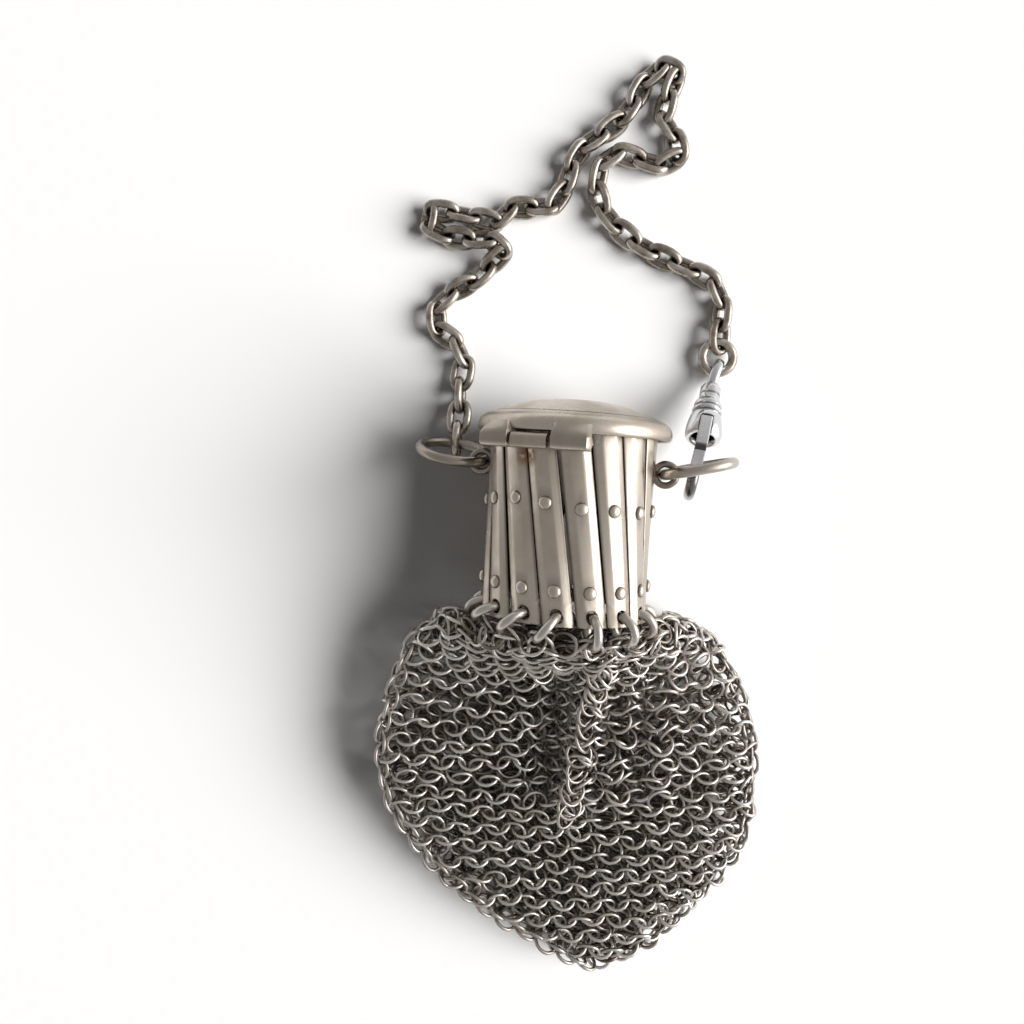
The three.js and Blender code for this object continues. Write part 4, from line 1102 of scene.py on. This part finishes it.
thumb_slot = (np.abs(bell_spin) < SLOT_HALF) * ((bell_along < SLOT_END) & (bell_radius > SLOT_FROM))
bell_wide = bell_radius * (1 - SLOT_DEEP * thumb_slot)
bell_points = in_clasp(bell_wide * np.sin(bell_spin), bell_along, bell_wide * np.cos(bell_spin))
# Painted shade: the inside of the bell's mouth, its grooves and the thumb slot are painted dark.
groove_shade = 0 * bell_radius
groove_shade[:BELL_INSIDE] = 1.0
groove_shade[BELL_GROOVES] = 0.55
bell_shade = np.maximum(groove_shade, 0.8 * thumb_slot)
hook_path = in_clasp(
    [0.0, 0.0, -0.06, -0.4, -0.59, -0.63, -0.59, -0.45],
    [14.6, 13.0, 11.0, 5.25, 2.2, 1.5, 2.2, 4.4],
    [-1.3, -1.7, -2.9, -2.9, -2.175, 0.0, 2.175, 2.9],
)
hook_points = bent_bar(hook_path, HOOK_WIRE_HALF, 16, HOOK_STEPS, clasp_side)
hook_stop = np.pad(np.linspace(0, 7, HOOK_STEPS), (len(hook_points) - HOOK_STEPS) // 2, "edge")[:, None]
# The hook darkens towards its end: partly tarnish, partly the painted shadow of the jump ring.
hook_tarnish_and_shadow = np.interp(hook_stop, [0.0, 4.2, 4.9, 5.4, 7.0], [0.1, 0.3, 0.5, 0.85, 0.7])
clasp_grids = [(bell_points, bell_shade), (hook_points, hook_tarnish_and_shadow)]
clasp_bell = knit("clasp_bell", clasp_grids, clasp_metal, sharp=45)
settle(clasp_bell, "purse", "clasp_metal", "clasp_body")

# Lever: a flat plated bar, cut to its outline with a thumb notch, that turns
# on a pin in the bell's slot; a spring holds its end against the hook's tip.
LEVER_HALF, LEVER_ROUNDING, LEVER_METAL = 1.0, 0.0002, 0.6
LEVER_LEAN, LEVER_LEAN_FROM = 0.06, 12
lever_metal = old_metal(
    "lever_plate", clean=(0.66, 0.66, 0.68), stained=(0.56, 0.56, 0.57), dark=(0.06, 0.055, 0.06),
    rough=(0.3, 0.45), patch=0.4, bump=0.05,
)
lever_metal.node_tree.nodes["Principled BSDF"].inputs["Metallic"].default_value = LEVER_METAL
lever_along = np.array([4.7, 12.0, 12.9, 14.3, 15.0, 15.1, 14.7, 9.35, 9.2, 8.1, 7.95, 4.7])
lever_up = np.array([2.4, 1.3, 0.1, 0.1, 1.2, 3.2, 3.6, 3.5, 2.9, 2.9, 3.5, 3.6])
# Painted dark reflection: the thumb notch is painted dark, and the lower edge of the bar is darker as well.
lever_grime_and_reflection = np.array([0.5, 0.5, 0.5, 0.5, 0.5, 0, 0, 0.25, 1, 1, 0.25, 0])
lever_aside = np.minimum(0, LEVER_LEAN * (lever_along - LEVER_LEAN_FROM))
lever_loop = in_clasp(lever_aside, lever_along, lever_up)
lever_points = np.concatenate([lever_loop - LEVER_HALF * clasp_side, lever_loop + LEVER_HALF * clasp_side])
lever_corners = len(lever_loop)
lever_walk = np.arange(lever_corners)
lever_next = (lever_walk + 1) % lever_corners
lever_walls = np.stack([lever_next, lever_walk, lever_walk + lever_corners, lever_next + lever_corners], -1)
lever_faces = [lever_walk.tolist(), (lever_walk[::-1] + lever_corners).tolist(), *lever_walls.tolist()]
lever_grime_and_reflection_per_point = np.tile(lever_grime_and_reflection, 2)
lever_bar = make_piece("lever_bar", lever_points, lever_faces, lever_grime_and_reflection_per_point, lever_metal, smooth=False)
rounding = lever_bar.modifiers.new("rounding", "BEVEL")
rounding.width = LEVER_ROUNDING
rounding.segments = 3
settle(lever_bar, "clasp_lever", "clasp_metal", "clasp_lever")

# Swivel eye: a flattened plated ring on a short shank that turns in the bell's
# neck; the chain's end ring goes through it.
SWIVEL_LEAN, SWIVEL_MEAN, SWIVEL_WIRE, SWIVEL_FLAT = np.radians(10), 2.2, 1.8, 0.34
eye_lean = clasp_way * np.cos(SWIVEL_LEAN) + clasp_side * np.sin(SWIVEL_LEAN)
eye_middle = in_clasp(0.4, 26.15, 0.0)
eye_ring = wire_rings(eye_middle, eye_lean, clasp_up, SWIVEL_MEAN, SWIVEL_WIRE, 44, 16)
eye_ring = eye_ring - SWIVEL_FLAT * ((eye_ring - eye_middle) @ clasp_up)[..., None] * clasp_up
shank_radius = [0.0, 0.85, 0.85, 0.75, 0.0]
shank_along = [21.6, 21.6, 23.8, 24.2, 24.25]
eye_shank = turned_on(clasp_from[None], clasp_way[None], shank_radius, shank_along, 20)
swivel_eye = knit("swivel_eye", [(eye_ring, 0.0, True, True), (eye_shank, 0.2)], clasp_metal)
settle(swivel_eye, "purse", "clasp_metal", "clasp_eye")
